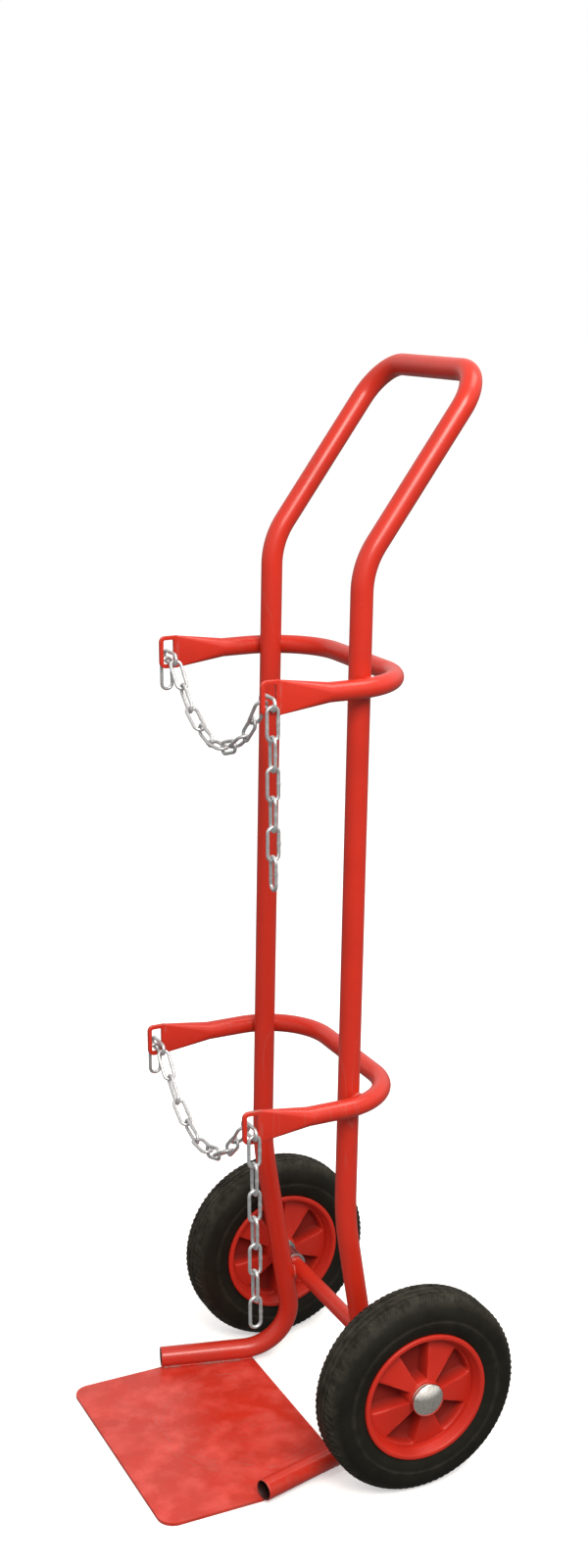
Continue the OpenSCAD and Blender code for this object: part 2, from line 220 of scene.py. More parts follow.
class TrolleyWheels(bpy.types.PropertyGroup):
    """Sizes of the wheels and the axle."""

    wheel_d: length("Tyre diameter", "Diameter of the tyre", 0.244)
    tyre_w: length("Tyre width", "Width of the tyre", 0.058)
    tyre_r: length("Tyre shoulder", "Rounding of the tyre's shoulders", 0.022)
    rim_d: length("Rim diameter", "Diameter over the rim's lip", 0.156)
    track: length("Track", "Distance between the wheels' middle planes", 0.387)
    spokes: count("Spokes", "Spokes in a rim", 5)
    pocket_share: bpy.props.FloatProperty(
        name="Pocket share", description="Share of each rim sector that is a pocket", default=0.46,
        min=0.2, max=0.7, subtype="FACTOR")
    rim_turn: angle("Rim turn", "Turn of the rims as they stand", -26)
    axle_d: length("Axle", "Diameter of the axle", 0.020)
    hub_d: length("Hub", "Diameter of the hub", 0.040)
    hub_len: length("Hub length", "Length of the hub", 0.050)
    cap_d: length("Cap", "Diameter of the domed axle cap", 0.040)
    dome_h: length("Dome", "Height of the cap's dome", 0.008)
    ribs: count("Tread ribs", "Ribs round each shoulder of a tyre", 96)
    rib_h: length("Rib height", "Height of the tread ribs", 0.0007)


class TrolleyChains(bpy.types.PropertyGroup):
    """Sizes of the chains."""

    wire_d: length("Wire", "Wire of the chain links", 0.004)
    link_len: length("Link length", "Inside length of a link", 0.033)
    link_w: length("Link width", "Inside width of a link", 0.009)
    link_gap: length("Link play", "Play between neighbouring links", 0.0003)
    span_links: count("Span links", "Links that hang between the arms of a hoop", 9)
    upper_tail: count("Upper loose end", "Links in the loose end of the upper chain", 6)
    lower_tail: count("Lower loose end", "Links in the loose end of the lower chain", 7)
    weld_swell: length("Link weld", "Swelling at the butt weld of each link", 0.00035)


class TrolleyFinish(bpy.types.PropertyGroup):
    """Colours of the finishes and of the light."""

    paint: tint("Frame paint", "Red paint of the frame", (0.55, 0.024, 0.010))
    # Near black inside the tubes: bare steel, darkened further as painted shade for the deep bore
    bore: tint("Tube bore", "Bare steel with overspray inside the tubes", (0.030, 0.006, 0.005))
    # Pale patches on the plate: rubbed dull paint, partly a painted sheen of light from above
    dull_and_sheen: tint("Rubbed paint", "Paint of the plate where loads have rubbed it dull", (0.80, 0.105, 0.085))
    worn: tint("Worn paint", "Primer and steel that show where paint is worn", (0.30, 0.16, 0.14))
    rim: tint("Rim plastic", "Red moulded plastic of the rims", (0.51, 0.021, 0.010))
    rim_rub: tint("Rubbed rim", "Rim plastic where its edges are rubbed pale", (0.72, 0.16, 0.13))
    rubber: tint("Tyre rubber", "Black rubber of the tyres", (0.0088, 0.0084, 0.0060))
    dust: tint("Dust", "Dust on rubber and paint", (0.16, 0.15, 0.12))
    zinc: tint("Zinc", "Bright zinc of the spacers and washers", (0.62, 0.64, 0.66))
    links: tint("Chain zinc", "Pale zinc of the chain links", (0.64, 0.66, 0.68))
    cap: tint("Cap", "Bright plating of the axle caps", (0.93, 0.90, 0.84))
    bush: tint("Bush", "Pale plastic of the bushes", (0.62, 0.60, 0.54))
    floor: tint("Floor", "Pale studio floor", (0.90, 0.90, 0.90))
    lamps: tint("Lamps", "Warm white of the lamps", (1.0, 0.94, 0.86))
    sky: tint("Sky", "Warm white of the light from all round", (1.0, 0.975, 0.94))


class TrolleyStage(bpy.types.PropertyGroup):
    """The camera and the lamps."""

    lens: bpy.props.FloatProperty(
        name="Lens", description="Focal length for a picture 36 mm high", default=45.45, unit="CAMERA")
    camera_at: place("Camera", "Where the camera stands", (1.98183, -0.91218, 1.38020))
    camera_turn: bpy.props.FloatVectorProperty(
        name="Camera turn", description="Turns of the camera about X, Y and Z", subtype="EULER",
        default=[math.radians(v) for v in (75.3283, 0.1403, 64.6041)])
    key_at: place("Key lamp", "Where the key lamp hangs", (2.6, -0.5, 3.0))
    key_aim: place("Key lamp's aim", "What the key lamp points at", (0, 0, 0.6))
    key_size: length("Key lamp's size", "Side of the square key lamp", 1.5)
    key_power: power("Key lamp's power", "Power of the key lamp", 118)
    top_at: place("Top lamp", "Where the top lamp hangs", (0.5, 1.2, 3.3))
    top_aim: place("Top lamp's aim", "What the top lamp points at", (0, 0, 0.7))
    top_size: length("Top lamp's size", "Side of the square top lamp", 1.4)
    top_power: power("Top lamp's power", "Power of the top lamp", 32)


GROUPS = {
    "trolley_frame": TrolleyFrame,
    "trolley_wheels": TrolleyWheels,
    "trolley_chains": TrolleyChains,
    "trolley_finish": TrolleyFinish,
    "trolley_stage": TrolleyStage,
}


def layout():
    """The places of the pieces, worked out as in the solids; f, w and c hold the sizes."""
    scene = bpy.context.scene
    f, w, c = scene.trolley_frame, scene.trolley_wheels, scene.trolley_chains
    p = SimpleNamespace(f=f, w=w, c=c)
    p.rail_x = f.rail_gap / 2
    p.tube_r = f.tube_d / 2
    p.axle_r = w.axle_d / 2
    p.rim_r = w.rim_d / 2
    p.wheel_r = w.wheel_d / 2
    kick_tan, rail_tan = math.tan(f.kick_lean), math.tan(f.rail_lean)
    axle_back = (f.rail_back + (f.kick_z - p.wheel_r) * kick_tan
                 + (p.tube_r + p.axle_r + WELD_GAP) / math.cos(f.kick_lean))
    bar_back = (f.rail_back + (f.handle_z - f.kick_z) * rail_tan
                + (f.bar_z - f.handle_z) * math.tan(f.handle_lean))
    rear = max(axle_back + p.wheel_r, bar_back + p.tube_r)
    p.load_y = (f.plate_front - rear) / 2
    p.axle = Vector((0, p.load_y + axle_back, p.wheel_r))
    p.rail_y = lambda z: p.load_y + f.rail_back + (z - f.kick_z) * rail_tan
    toe_z = f.plate_t + SEAT_GAP + p.tube_r
    lean_cut = f.lean_r * math.tan((f.handle_lean - f.rail_lean) / 2)
    joint_z = f.handle_z - (lean_cut + HANDLE_STUB) * math.cos(f.rail_lean)
    p.toe_end = Vector((f.toe_x, p.load_y - f.toe_front, toe_z))
    p.foot = Vector((p.rail_x, p.load_y + f.rail_back + (f.kick_z - toe_z) * kick_tan, toe_z))
    p.kick = Vector((p.rail_x, p.rail_y(f.kick_z), f.kick_z))
    p.joint = Vector((p.rail_x, p.rail_y(joint_z), joint_z))
    p.lean = Vector((p.rail_x, p.rail_y(f.handle_z), f.handle_z))
    p.corner = Vector((p.rail_x, p.load_y + bar_back, f.bar_z))
    seat = f.hoop_r - f.hoop_d / 2 - p.tube_r - WELD_GAP
    p.arm_x = p.rail_x + f.hoop_r - seat * math.sin(f.seat_angle)
    p.eye_len = f.slot_w + 2 * f.slot_rim
    p.hoops = {}
    for name, z, reach in (("upper", f.upper_z, f.upper_reach), ("lower", f.lower_z, f.lower_reach)):
        back = p.rail_y(z) - seat * math.cos(f.seat_angle) + f.hoop_r
        p.hoops[name] = (z, back, back - reach)
    p.wheel_x = w.track / 2
    p.flange_end = w.hub_len / 2 + FLANGE
    p.washer_end = p.flange_end + SIDE_GAP + WASHER_T
    p.cap_x = p.wheel_x + p.washer_end + SIDE_GAP
    p.axle_end = p.cap_x + CAP_GRIP
    low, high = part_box("axle")
    off, near = (low + high) / 2 - p.axle, 0.0005
    if off.length > near or abs(high.x - p.axle_end) > near:
        raise RuntimeError("the axle isn't where the packed model has it")
    return p


# Mesh making

def stepped(start, stop, steps):
    """Even steps from start to stop, without the start."""
    return [start + (stop - start) * k / steps for k in range(1, steps + 1)]


def circle(sides, first=0.0):
    """Cosines and sines at even steps round a circle."""
    turns = [TAU * (j + first) / sides for j in range(sides)]
    return [(math.cos(t), math.sin(t)) for t in turns]


def smooth(value, low, high):
    """Rises softly from 0 at low to 1 at high."""
    t = max(0.0, min(1.0, (value - low) / (high - low)))
    return t * t * (3 - 2 * t)


def mirrored(point, side):
    """The point itself, or its mirror image on the right side."""
    return Vector((side * point.x, point.y, point.z))


def loft(bm, rings, closed):
    """Skins a row of rings with quads; closed joins the last ring to the first, else the ends get faces."""
    rows = [[bm.verts.new(v) for v in ring] for ring in rings]
    size = len(rows[0])
    following = rows[1:] + rows[:1] if closed else rows[1:]
    for a, b in zip(rows, following):
        for j in range(size):
            k = (j + 1) % size
            bm.faces.new((a[j], a[k], b[k], b[j]))
    if not closed:
        bm.faces.new(rows[0])
        bm.faces.new(rows[-1])
    return rows


def bent_path(points, radii, fine=math.radians(3)):
    """Points along a chain of straights with a round bend at each inner point."""
    path = [points[0].copy()]
    for i in range(1, len(points) - 1):
        a = (points[i] - points[i - 1]).normalized()
        b = (points[i + 1] - points[i]).normalized()
        turn = a.angle(b)
        cut = radii[i] * math.tan(turn / 2)
        n = (b - a * a.dot(b)).normalized()
        centre = points[i] - a * cut + n * radii[i]
        steps = max(4, math.ceil(turn / fine))
        for k in range(steps + 1):
            t = turn * k / steps
            path.append(centre - n * math.cos(t) * radii[i] + a * math.sin(t) * radii[i])
    path.append(points[-1].copy())
    return path


def tangents(path):
    """Direction of the path at each of its points."""
    steps = [(b - a).normalized() for a, b in zip(path, path[1:])]
    inner = [(a + b).normalized() for a, b in zip(steps, steps[1:])]
    return [steps[0]] + inner + [steps[-1]]


def carried_frames(path):
    """Two cross directions at each point of the path, carried along without twisting."""
    dirs = tangents(path)
    side = dirs[0].orthogonal().normalized()
    frames = []
    for i, d in enumerate(dirs):
        if i:
            side = dirs[i - 1].rotation_difference(d) @ side
        side = (side - d * side.dot(d)).normalized()
        frames.append((side.copy(), d.cross(side)))
    return frames


def stretched(path, step=0.03):
    """The path with points added along its straights."""
    out = [path[0]]
    for a, b in zip(path, path[1:]):
        parts = max(1, math.ceil((b - a).length / step))
        out += [a.lerp(b, k / parts) for k in range(1, parts + 1)]
    return out


def tube(path, outer, inner, edges, sides=40):
    """A hollow tube along a path; edges round its two cut ends, and its bore is marked for the finish."""
    bm = bmesh.new()
    path = stretched(path)
    start = (path[1] - path[0]).normalized()
    stop = (path[-2] - path[-1]).normalized()
    along, inward = (0, 0.3, 1, 4), (1, 0.3, 0, 0)
    full = [path[0] + start * edges[0] * k for k in along] + path[1:-1]
    full += [path[-1] + stop * edges[1] * k for k in along[::-1]]
    insets = [edges[0] * k for k in inward] + [0] * (len(path) - 2)
    insets += [edges[1] * k for k in inward[::-1]]
    stations = list(zip(full, carried_frames(full), insets))
    walls = [
        [[at + (u * cos + v * sin) * (radius + sign * inset) for cos, sin in circle(sides)]
         for at, (u, v), inset in stations]
        for radius, sign in ((outer, -1), (inner, 1))]
    # Marks the bore, which the paint turns near black: bare steel and painted shade
    mark = bm.verts.layers.float.new("bore")
    for row in loft(bm, walls[0] + walls[1][::-1], True)[len(full):]:
        for vert in row:
            vert[mark] = 1.0
    return bm


def lathe(profile, centre, sides):
    """Turns a closed profile of (radius, x) round the axle's line at centre."""
    bm = bmesh.new()
    round_way = circle(sides)
    loft(bm, [[centre + Vector((x, r * cos, r * sin)) for cos, sin in round_way] for r, x in profile], True)
    return bm


def corner(before, here, after, radius, steps):
    """Points round one corner of a 2D line; it takes less than half of each side."""
    here = Vector(here)
    a, b = here - Vector(before), Vector(after) - here
    r = min(radius, a.length * 0.48, b.length * 0.48)
    start, stop = here - a.normalized() * r, here + b.normalized() * r
    shares = [k / steps for k in range(steps + 1)]
    return [start * (1 - t) ** 2 + here * 2 * t * (1 - t) + stop * t * t for t in shares]


def rounded(points, radius):
    """A closed 2D outline with every corner rounded."""
    n = len(points)
    return [v for i in range(n) for v in corner(points[i - 1], points[i], points[(i + 1) % n], radius, 3)]


def eased(points, radii, steps=4):
    """An open 2D line with each inner corner rounded by its own radius."""
    corners = zip(points, points[1:], points[2:], radii)
    inner = [v for before, here, after, r in corners for v in corner(before, here, after, r, steps)]
    return [Vector(points[0])] + inner + [Vector(points[-1])]


def arc(centre, radius, start, stop, steps):
    """Points on an arc in a plane, angles in degrees."""
    turns = [math.radians(start + (stop - start) * k / steps) for k in range(steps + 1)]
    return [Vector((centre[0] + radius * math.cos(t), centre[1] + radius * math.sin(t))) for t in turns]


def in_order(elements, place_of):
    """Sorts corners or faces by their places, so that every run gives the same mesh."""
    ranks = {item: k for k, item in enumerate(sorted(elements, key=place_of))}
    elements.sort(key=ranks.get)


def slab(bm, outline, holes, where, thickness, edge):
    """A flat piece with holes: outlines in 2D, carried by a matrix, its edges rounded."""
    edges = []
    for loop in [outline] + holes:
        verts = [bm.verts.new((p[0], p[1], 0)) for p in loop]
        edges += [bm.edges.new((verts[i - 1], verts[i])) for i in range(len(verts))]
    filled = bmesh.ops.triangle_fill(bm, edges=edges, use_beauty=True, use_dissolve=False)
    faces = [g for g in filled["geom"] if isinstance(g, bmesh.types.BMFace)]
    if not faces:
        raise RuntimeError("a flat piece could not be filled")
    # Raise the filled outline, then round the edges of its two faces
    raised = bmesh.ops.extrude_face_region(bm, geom=faces)
    moved = [g for g in raised["geom"] if isinstance(g, bmesh.types.BMVert)]
    bmesh.ops.translate(bm, verts=moved, vec=(0, 0, thickness))
    fresh = set(moved) | {v for e in edges for v in e.verts}
    bmesh.ops.recalc_face_normals(bm, faces=bm.faces[:])
    sharp = [e for e in bm.edges if e.verts[0] in fresh and len(e.link_faces) == 2
             and e.calc_face_angle() > math.radians(60)
             and abs(e.verts[0].co.z - e.verts[1].co.z) < 1e-7]
    made = bmesh.ops.bevel(bm, geom=sharp, offset=edge, offset_type="OFFSET", segments=3, profile=0.5,
                           affect="EDGES", clamp_overlap=True)
    fresh |= set(made["verts"])
    # A narrow border keeps the shading of the flat faces flat
    bm.normal_update()
    flat = [g for g in bm.faces if abs(g.normal.z) > 0.999 and fresh.issuperset(g.verts)]
    border = bmesh.ops.inset_region(bm, faces=flat, thickness=2 * edge, use_boundary=True,
                                    use_even_offset=True)
    fresh |= {v for g in flat + border["faces"] for v in g.verts}
    bmesh.ops.transform(bm, matrix=where, verts=[v for v in fresh if v.is_valid])
    # The rounding makes its faces in any order
    in_order(bm.verts, lambda v: v.co[:])
    in_order(bm.faces, lambda g: g.calc_center_median()[:])


def linked(name, data):
    """A new object in the scene."""
    obj = bpy.data.objects.new(name, data)
    bpy.context.scene.collection.objects.link(obj)
    return obj


def meshed(name, bm):
    """A mesh of a bmesh, which is freed."""
    mesh = bpy.data.meshes.new(name)
    bm.to_mesh(mesh)
    bm.free()
    return mesh


def piece(name, bm, material, body, nodes, sharp=38.0, merge=1e-6):
    """Makes an object of a bmesh and ties it to its CAD body."""
    if merge:
        bmesh.ops.remove_doubles(bm, verts=bm.verts[:], dist=merge)
    bmesh.ops.recalc_face_normals(bm, faces=bm.faces[:])
    settle(name, meshed(name, bm), material, body, nodes, sharp)


def settle(name, mesh, material, body, nodes, sharp):
    """Links a finished mesh as a piece of the trolley, shaded smooth up to a sharp angle."""
    mesh.materials.clear()
    mesh.materials.append(material)
    mesh.polygons.foreach_set("use_smooth", [True] * len(mesh.polygons))
    mesh.set_sharp_from_angle(angle=math.radians(sharp))
    obj = linked(name, mesh)
    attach(obj, body)
    if nodes:
        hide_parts(*nodes)


# Node trees

class Nodes:
    """Short ways to add nodes to one tree."""

    def __init__(self, tree):
        self.tree = tree

    def own(self, kind):
        """The node of a kind that the tree came with."""
        return next(n for n in self.tree.nodes if n.type == kind)

    def fill(self, socket, value):
        """Links a socket to another one, or sets its value."""
        if isinstance(value, bpy.types.NodeSocket):
            self.tree.links.new(value, socket)
        else:
            socket.default_value = value

    def add(self, kind, sockets=None, **settings):
        """Adds a node, sets its options and fills its sockets."""
        node = self.tree.nodes.new(kind)
        for key, value in settings.items():
            setattr(node, key, value)
        for key, value in (sockets or {}).items():
            self.fill(node.inputs[key], value)
        return node

    def math(self, kind, a, b=None):
        """One sum, product or other plain step."""
        sockets = {0: a} if b is None else {0: a, 1: b}
        return self.add("ShaderNodeMath", sockets, operation=kind).outputs[0]

    def vector(self, kind, sockets):
        """The node of one step with vectors."""
        return self.add("ShaderNodeVectorMath", sockets, operation=kind)

    def split(self, vector):
        """The three parts of a vector."""
        return self.add("ShaderNodeSeparateXYZ", {0: vector}).outputs

    def span(self, value, limits, levels, **settings):
        """Carries a value from its limits to levels, clamped."""
        return self.add("ShaderNodeMapRange", {
            "Value": value, "From Min": limits[0], "From Max": limits[1],
            "To Min": levels[0], "To Max": levels[1]}, **settings).outputs[0]

    def mix(self, share, a, b):
        """Two colours mixed by a share."""
        return self.add("ShaderNodeMix", {0: share, 6: a, 7: b}, data_type="RGBA").outputs[2]


class Shape(Nodes):
    """A Geometry Nodes tree with named inputs for its sizes."""

    def __init__(self, name, sizes):
        super().__init__(bpy.data.node_groups.new(name, "GeometryNodeTree"))
        sockets = self.tree.interface
        kinds = {float: "NodeSocketFloat", int: "NodeSocketInt", tuple: "NodeSocketVector"}
        sockets.new_socket("Geometry", in_out="INPUT", socket_type="NodeSocketGeometry")
        for label, value in sizes.items():
            sockets.new_socket(label, in_out="INPUT", socket_type=kinds[type(value)]).default_value = value
        sockets.new_socket("Geometry", in_out="OUTPUT", socket_type="NodeSocketGeometry")
        self.given = self.tree.nodes.new("NodeGroupInput").outputs

    def geo(self, kind, sockets=None, **settings):
        """Adds a geometry node and gives its first output."""
        return self.add("GeometryNode" + kind, sockets, **settings).outputs[0]

    def turn(self, angles):
        """A rotation by three angles."""
        return self.add("FunctionNodeEulerToRotation", {0: angles}).outputs[0]

    def close(self, geometry, material):
        """Ends the tree: real geometry, its material, and the output."""
        real = self.geo("RealizeInstances", {"Geometry": geometry})
        dressed = self.geo("SetMaterial", {"Geometry": real, "Material": material})
        self.add("NodeGroupOutput", {"Geometry": dressed})
        return self

    def grow(self, mesh, sizes):
        """Runs the tree on a mesh and gives the result as a plain mesh."""
        holder = linked("grown", mesh)
        modifier = holder.modifiers.new(self.tree.name, "NODES")
        modifier.node_group = self.tree
        for item in self.tree.interface.items_tree:
            if item.in_out == "INPUT" and item.name in sizes:
                modifier[item.identifier] = sizes[item.name]
        bpy.context.view_layer.update()
        graph = bpy.context.evaluated_depsgraph_get()
        made = bpy.data.meshes.new_from_object(holder.evaluated_get(graph))
        holder.modifiers.remove(modifier)
        bpy.data.objects.remove(holder)
        bpy.data.meshes.remove(mesh)
        if not made.polygons:
            raise RuntimeError(self.tree.name + " made nothing")
        return made


def link_tree(material, sizes):
    """Chain links on points: a wire bent into a long ring, with a swelling at its weld."""
    tree = Shape("chain links", sizes)
    given = tree.given
    long_way = tree.math("ADD", given["Inside length"], given["Wire"])
    wide_way = tree.math("ADD", given["Inside width"], given["Wire"])
    box = tree.geo("CurvePrimitiveQuadrilateral", {"Width": long_way, "Height": wide_way})
    # Just under half the width, so that the two bends of an end stay apart
    bend = tree.math("MULTIPLY", wide_way, 0.4999)
    bent = tree.geo("FilletCurve", {
        "Curve": box, "Count": 12, "Radius": bend, "Limit Radius": True}, mode="POLY")
    even = tree.geo("ResampleCurve", {"Curve": bent, "Count": 60}, mode="COUNT")
    wire_r = tree.math("MULTIPLY", given["Wire"], 0.5)
    wire = tree.geo("CurvePrimitiveCircle", {"Resolution": 12, "Radius": wire_r})
    ring = tree.geo("CurveToMesh", {"Curve": even, "Profile Curve": wire})
    at = tree.split(tree.geo("InputPosition"))
    weld_half = 0.0035
    near = tree.span(tree.math("ABSOLUTE", at["X"]), (0, weld_half), (1, 0), interpolation_type="SMOOTHSTEP")
    side = tree.math("GREATER_THAN", at["Y"], 0.0)
    lift = tree.math("MULTIPLY", tree.math("MULTIPLY", near, side), given["Weld swell"])
    push = tree.vector("SCALE", {0: tree.geo("InputNormal"), "Scale": lift}).outputs[0]
    swollen = tree.geo("SetPosition", {"Geometry": ring, "Offset": push})
    turn = tree.turn(tree.geo("InputNamedAttribute", {"Name": "turn"}, data_type="FLOAT_VECTOR"))
    points = tree.geo("MeshToPoints", {"Mesh": given["Geometry"]})
    links = tree.geo("InstanceOnPoints", {"Points": points, "Instance": swollen, "Rotation": turn})
    return tree.close(links, material)


def bead_tree(material, sizes):
    """A weld bead: overlapping drops of weld metal along a path."""
    tree = Shape("weld bead", sizes)
    given = tree.given
    path = tree.geo("MeshToCurve", {"Mesh": given["Geometry"]})
    even = tree.geo("ResampleCurve", {"Curve": path, "Length": given["Step"]}, mode="LENGTH")
    drop_r = tree.math("MULTIPLY", given["Bead"], 0.5)
    drop = tree.geo("MeshUVSphere", {"Segments": 10, "Rings": 6, "Radius": drop_r})
    size = tree.add("FunctionNodeRandomValue", {2: 0.86, 3: 1.12, "Seed": given["Seed"]}, data_type="FLOAT")
    drops = tree.geo("InstanceOnPoints", {"Points": even, "Instance": drop, "Scale": size.outputs[1]})
    return tree.close(drops, material)


def tread_tree(material, sizes):
    """One pair of tread ribs repeated round the wheel's axle."""
    tree = Shape("tread ribs", sizes)
    given = tree.given
    points = tree.geo("Points", {"Count": given["Ribs"]})
    share = tree.math("DIVIDE", tree.geo("InputIndex"), given["Ribs"])
    spin = tree.add("ShaderNodeCombineXYZ", {"X": tree.math("MULTIPLY", share, TAU)}).outputs[0]
    ribs = tree.geo("InstanceOnPoints", {
        "Points": points, "Instance": given["Geometry"], "Rotation": tree.turn(spin)})
    moved = tree.geo("Transform", {"Geometry": ribs, "Translation": given["Axle"]})
    return tree.close(moved, material)


# Finishes

class Coat(Nodes):
    """A material in the making: its nodes, its shader and Object coordinates."""

    def __init__(self, name):
        self.material = bpy.data.materials.new(name)
        self.material.use_nodes = True
        super().__init__(self.material.node_tree)
        self.shader = self.own("BSDF_PRINCIPLED")
        self.where = self.add("ShaderNodeTexCoord").outputs["Object"]

    def noise(self, scale, detail, roughness=0.55, stretch=None):
        """Noise at a scale, as a value from 0 to 1."""
        where = self.where
        if stretch:
            where = self.add("ShaderNodeMapping", {"Vector": where, "Scale": stretch}).outputs[0]
        return self.add("ShaderNodeTexNoise", {
            "Vector": where, "Scale": scale, "Detail": detail, "Roughness": roughness}).outputs[0]

    def blotch(self, scale, detail, limits, levels, *more):
        """Noise carried from its limits to levels."""
        return self.span(self.noise(scale, detail, *more), limits, levels)

    def ramp(self, value, stops):
        """Colours along a value; each stop is a place and a grey or a colour."""
        node = self.add("ShaderNodeValToRGB", {"Fac": value})
        elements = node.color_ramp.elements
        while len(elements) < len(stops):
            elements.new(0.5)
        for element, (at, colour) in zip(elements, stops):
            element.position = at
            element.color = (colour, colour, colour, 1) if isinstance(colour, int) else tuple(colour)
        return node.outputs[0]

    def edges(self):
        """How far a place stands out: above one half on edges, below it in hollows."""
        return self.add("ShaderNodeNewGeometry").outputs["Pointiness"]

    def mark(self, name):
        """A share that the mesh carries."""
        return self.add("ShaderNodeAttribute", attribute_name=name).outputs["Fac"]

    def around(self, centre, axes):
        """Coordinates about a centre, and the distance from it along some axes."""
        there = self.add("ShaderNodeMapping", {"Vector": self.where, "Location": -Vector(centre)}).outputs[0]
        flat = self.vector("MULTIPLY", {0: there, 1: axes}).outputs[0]
        return there, self.vector("LENGTH", {0: flat}).outputs["Value"]

    def dress(self, colour, rough, values, bumps=()):
        """Fills the shader: colour, roughness, plain values, and bumps of (height, strength, distance)."""
        inputs = self.shader.inputs
        self.fill(inputs["Base Color"], colour)
        self.fill(inputs["Roughness"], rough)
        for key, value in values.items():
            inputs[key].default_value = value
        normal = {}
        for height, strength, distance in bumps:
            bump = self.add("ShaderNodeBump", {
                "Height": height, "Strength": strength, "Distance": distance, **normal})
            normal = {"Normal": bump.outputs[0]}
        if normal:
            self.fill(inputs["Normal"], normal["Normal"])
        return self.material


def scaled(colour, k):
    """A colour made lighter or darker."""
    return tuple(min(1.0, v * k) for v in colour[:3]) + (1.0,)


def rubbed_plate(coat, finish, base, marks, centre):
    """The plate's paint where loads stand: pale patches of rubbed paint and painted sheen, dark smears and
    rings of scuffs.
    """
    # Pale patches: rubbed dull paint, partly painted sheen
    dull_and_sheen = coat.blotch(26, 5, (0.44, 0.68), (0, 0.55), 0.62)
    base = coat.mix(dull_and_sheen, base, finish.dull_and_sheen)
    smear = coat.blotch(17, 4, (0.54, 0.74), (0, 0.45), 0.6, (1.0, 0.6, 1.0))
    base = coat.mix(smear, base, scaled(finish.paint, 0.72))
    there, far = coat.around(centre, (1, 1, 0))
    rings = coat.add("ShaderNodeTexWave", {
        "Vector": there, "Scale": 34.0, "Distortion": 2.2, "Detail": 3.0, "Detail Scale": 2.0},
        wave_type="RINGS", rings_direction="Z").outputs[1]
    # A load's rim scuffs the paint between these distances from the middle
    scuffed = coat.math("MULTIPLY", coat.span(far, (0.085, 0.100), (0.35, 1)),
                        coat.span(far, (0.108, 0.128), (1, 0)))
    broken = coat.blotch(46, 5, (0.46, 0.66), (0, 0.34), 0.7)
    arcs = coat.math("MULTIPLY", coat.span(rings, (0.62, 0.9), (0, 1)), broken)
    return base, coat.math("MAXIMUM", marks, coat.math("MULTIPLY", arcs, scuffed))


def paint_finish(name, scuffs, centre=None):
    """Glossy red paint on steel: tone drift, fine peel, scuffs, worn edges and floor dust."""
    finish = bpy.context.scene.trolley_finish
    colour = finish.paint
    coat = Coat(name)
    base = coat.ramp(coat.noise(11, 4), [
        (0.30, scaled(colour, 0.90)), (0.52, colour), (0.72, scaled(colour, 1.07))])
    base = coat.mix(coat.blotch(160, 3, (0.3, 0.7), (0, 0.10)), base, scaled(colour, 0.80))
    scratch = coat.ramp(coat.noise(26, 2, 0.5, (1, 1, 0.16)), [(0.488, 0), (0.498, 1), (0.508, 0)])
    marks = coat.math("MULTIPLY", scratch, coat.blotch(5, 2, (0.50, 0.68), (0, scuffs)))
    if centre is not None:
        base, marks = rubbed_plate(coat, finish, base, marks, centre)
    chipped = coat.math("MULTIPLY", coat.span(coat.edges(), (0.535, 0.60), (0, 1)),
                        coat.blotch(70, 4, (0.42, 0.62), (0, 1)))
    worn = coat.math("MAXIMUM", chipped, marks)
    base = coat.mix(worn, base, finish.worn)
    # Dust settles on the lowest part
    dust = coat.math("MULTIPLY", coat.span(coat.split(coat.where)["Z"], (0, 0.09), (0.10, 0)),
                     coat.blotch(34, 5, (0.35, 0.75), (0.2, 1), 0.65))
    base = coat.mix(dust, base, finish.dust)
    # Inside the tubes the paint gives way to near-black bare steel, partly real steel and partly painted
    # shade in the bore
    bore = coat.mark("bore")
    dull = coat.math("MULTIPLY", coat.math("MAXIMUM", worn, bore), 0.30)
    rough = coat.math("ADD", coat.blotch(40, 4, (0.3, 0.7), (0.27, 0.37)), dull)
    return coat.dress(coat.mix(bore, base, finish.bore), rough, {
        "IOR": 1.5, "Specular IOR Level": 0.45, "Coat Weight": 0.10, "Coat Roughness": 0.25}, [
        (coat.noise(420, 2), 0.04, 0.0006),
        (coat.noise(48, 2), 0.04, 0.0030),
        (coat.math("SUBTRACT", 1.0, worn), 0.25, 0.0003)])


def rim_finish():
    """Moulded red plastic: soft gloss, flow marks, rubbed edges, and painted shade in the hollows and
    pockets.
    """
    finish = bpy.context.scene.trolley_finish
    colour = finish.rim
    coat = Coat("rim red plastic")
    base = coat.ramp(coat.noise(22, 4), [(0.3, scaled(colour, 0.92)), (0.7, scaled(colour, 1.06))])
    edges = coat.edges()
    # Painted shade: concave places turn towards a deep copy of the rim's red
    hollow_shade = coat.math("MULTIPLY", coat.span(edges, (0.49, 0.44), (0, 0.55)),
                      coat.blotch(60, 4, (0.3, 0.7), (0.3, 1)))
    base = coat.mix(hollow_shade, base, scaled(colour, 0.35))
    pocket = coat.mark("pocket")
    # Painted shade: the pockets darken with the depth share that the mesh marks
    base = coat.mix(coat.span(pocket, (0.1, 1.0), (0, 1)), base, scaled(colour, 0.42))
    rub = coat.math("MULTIPLY", coat.span(edges, (0.53, 0.58), (0, 0.3)),
                    coat.blotch(80, 3, (0.45, 0.6), (0, 1)))
    base = coat.mix(rub, base, finish.rim_rub)
    rough = coat.math("ADD", coat.blotch(55, 4, (0.3, 0.7), (0.34, 0.48)), coat.math("MULTIPLY", pocket, 0.4))
    return coat.dress(base, rough, {"IOR": 1.49, "Specular IOR Level": 0.36}, [
        (coat.noise(1500, 2), 0.05, 0.0004), (coat.noise(60, 2), 0.03, 0.002)])


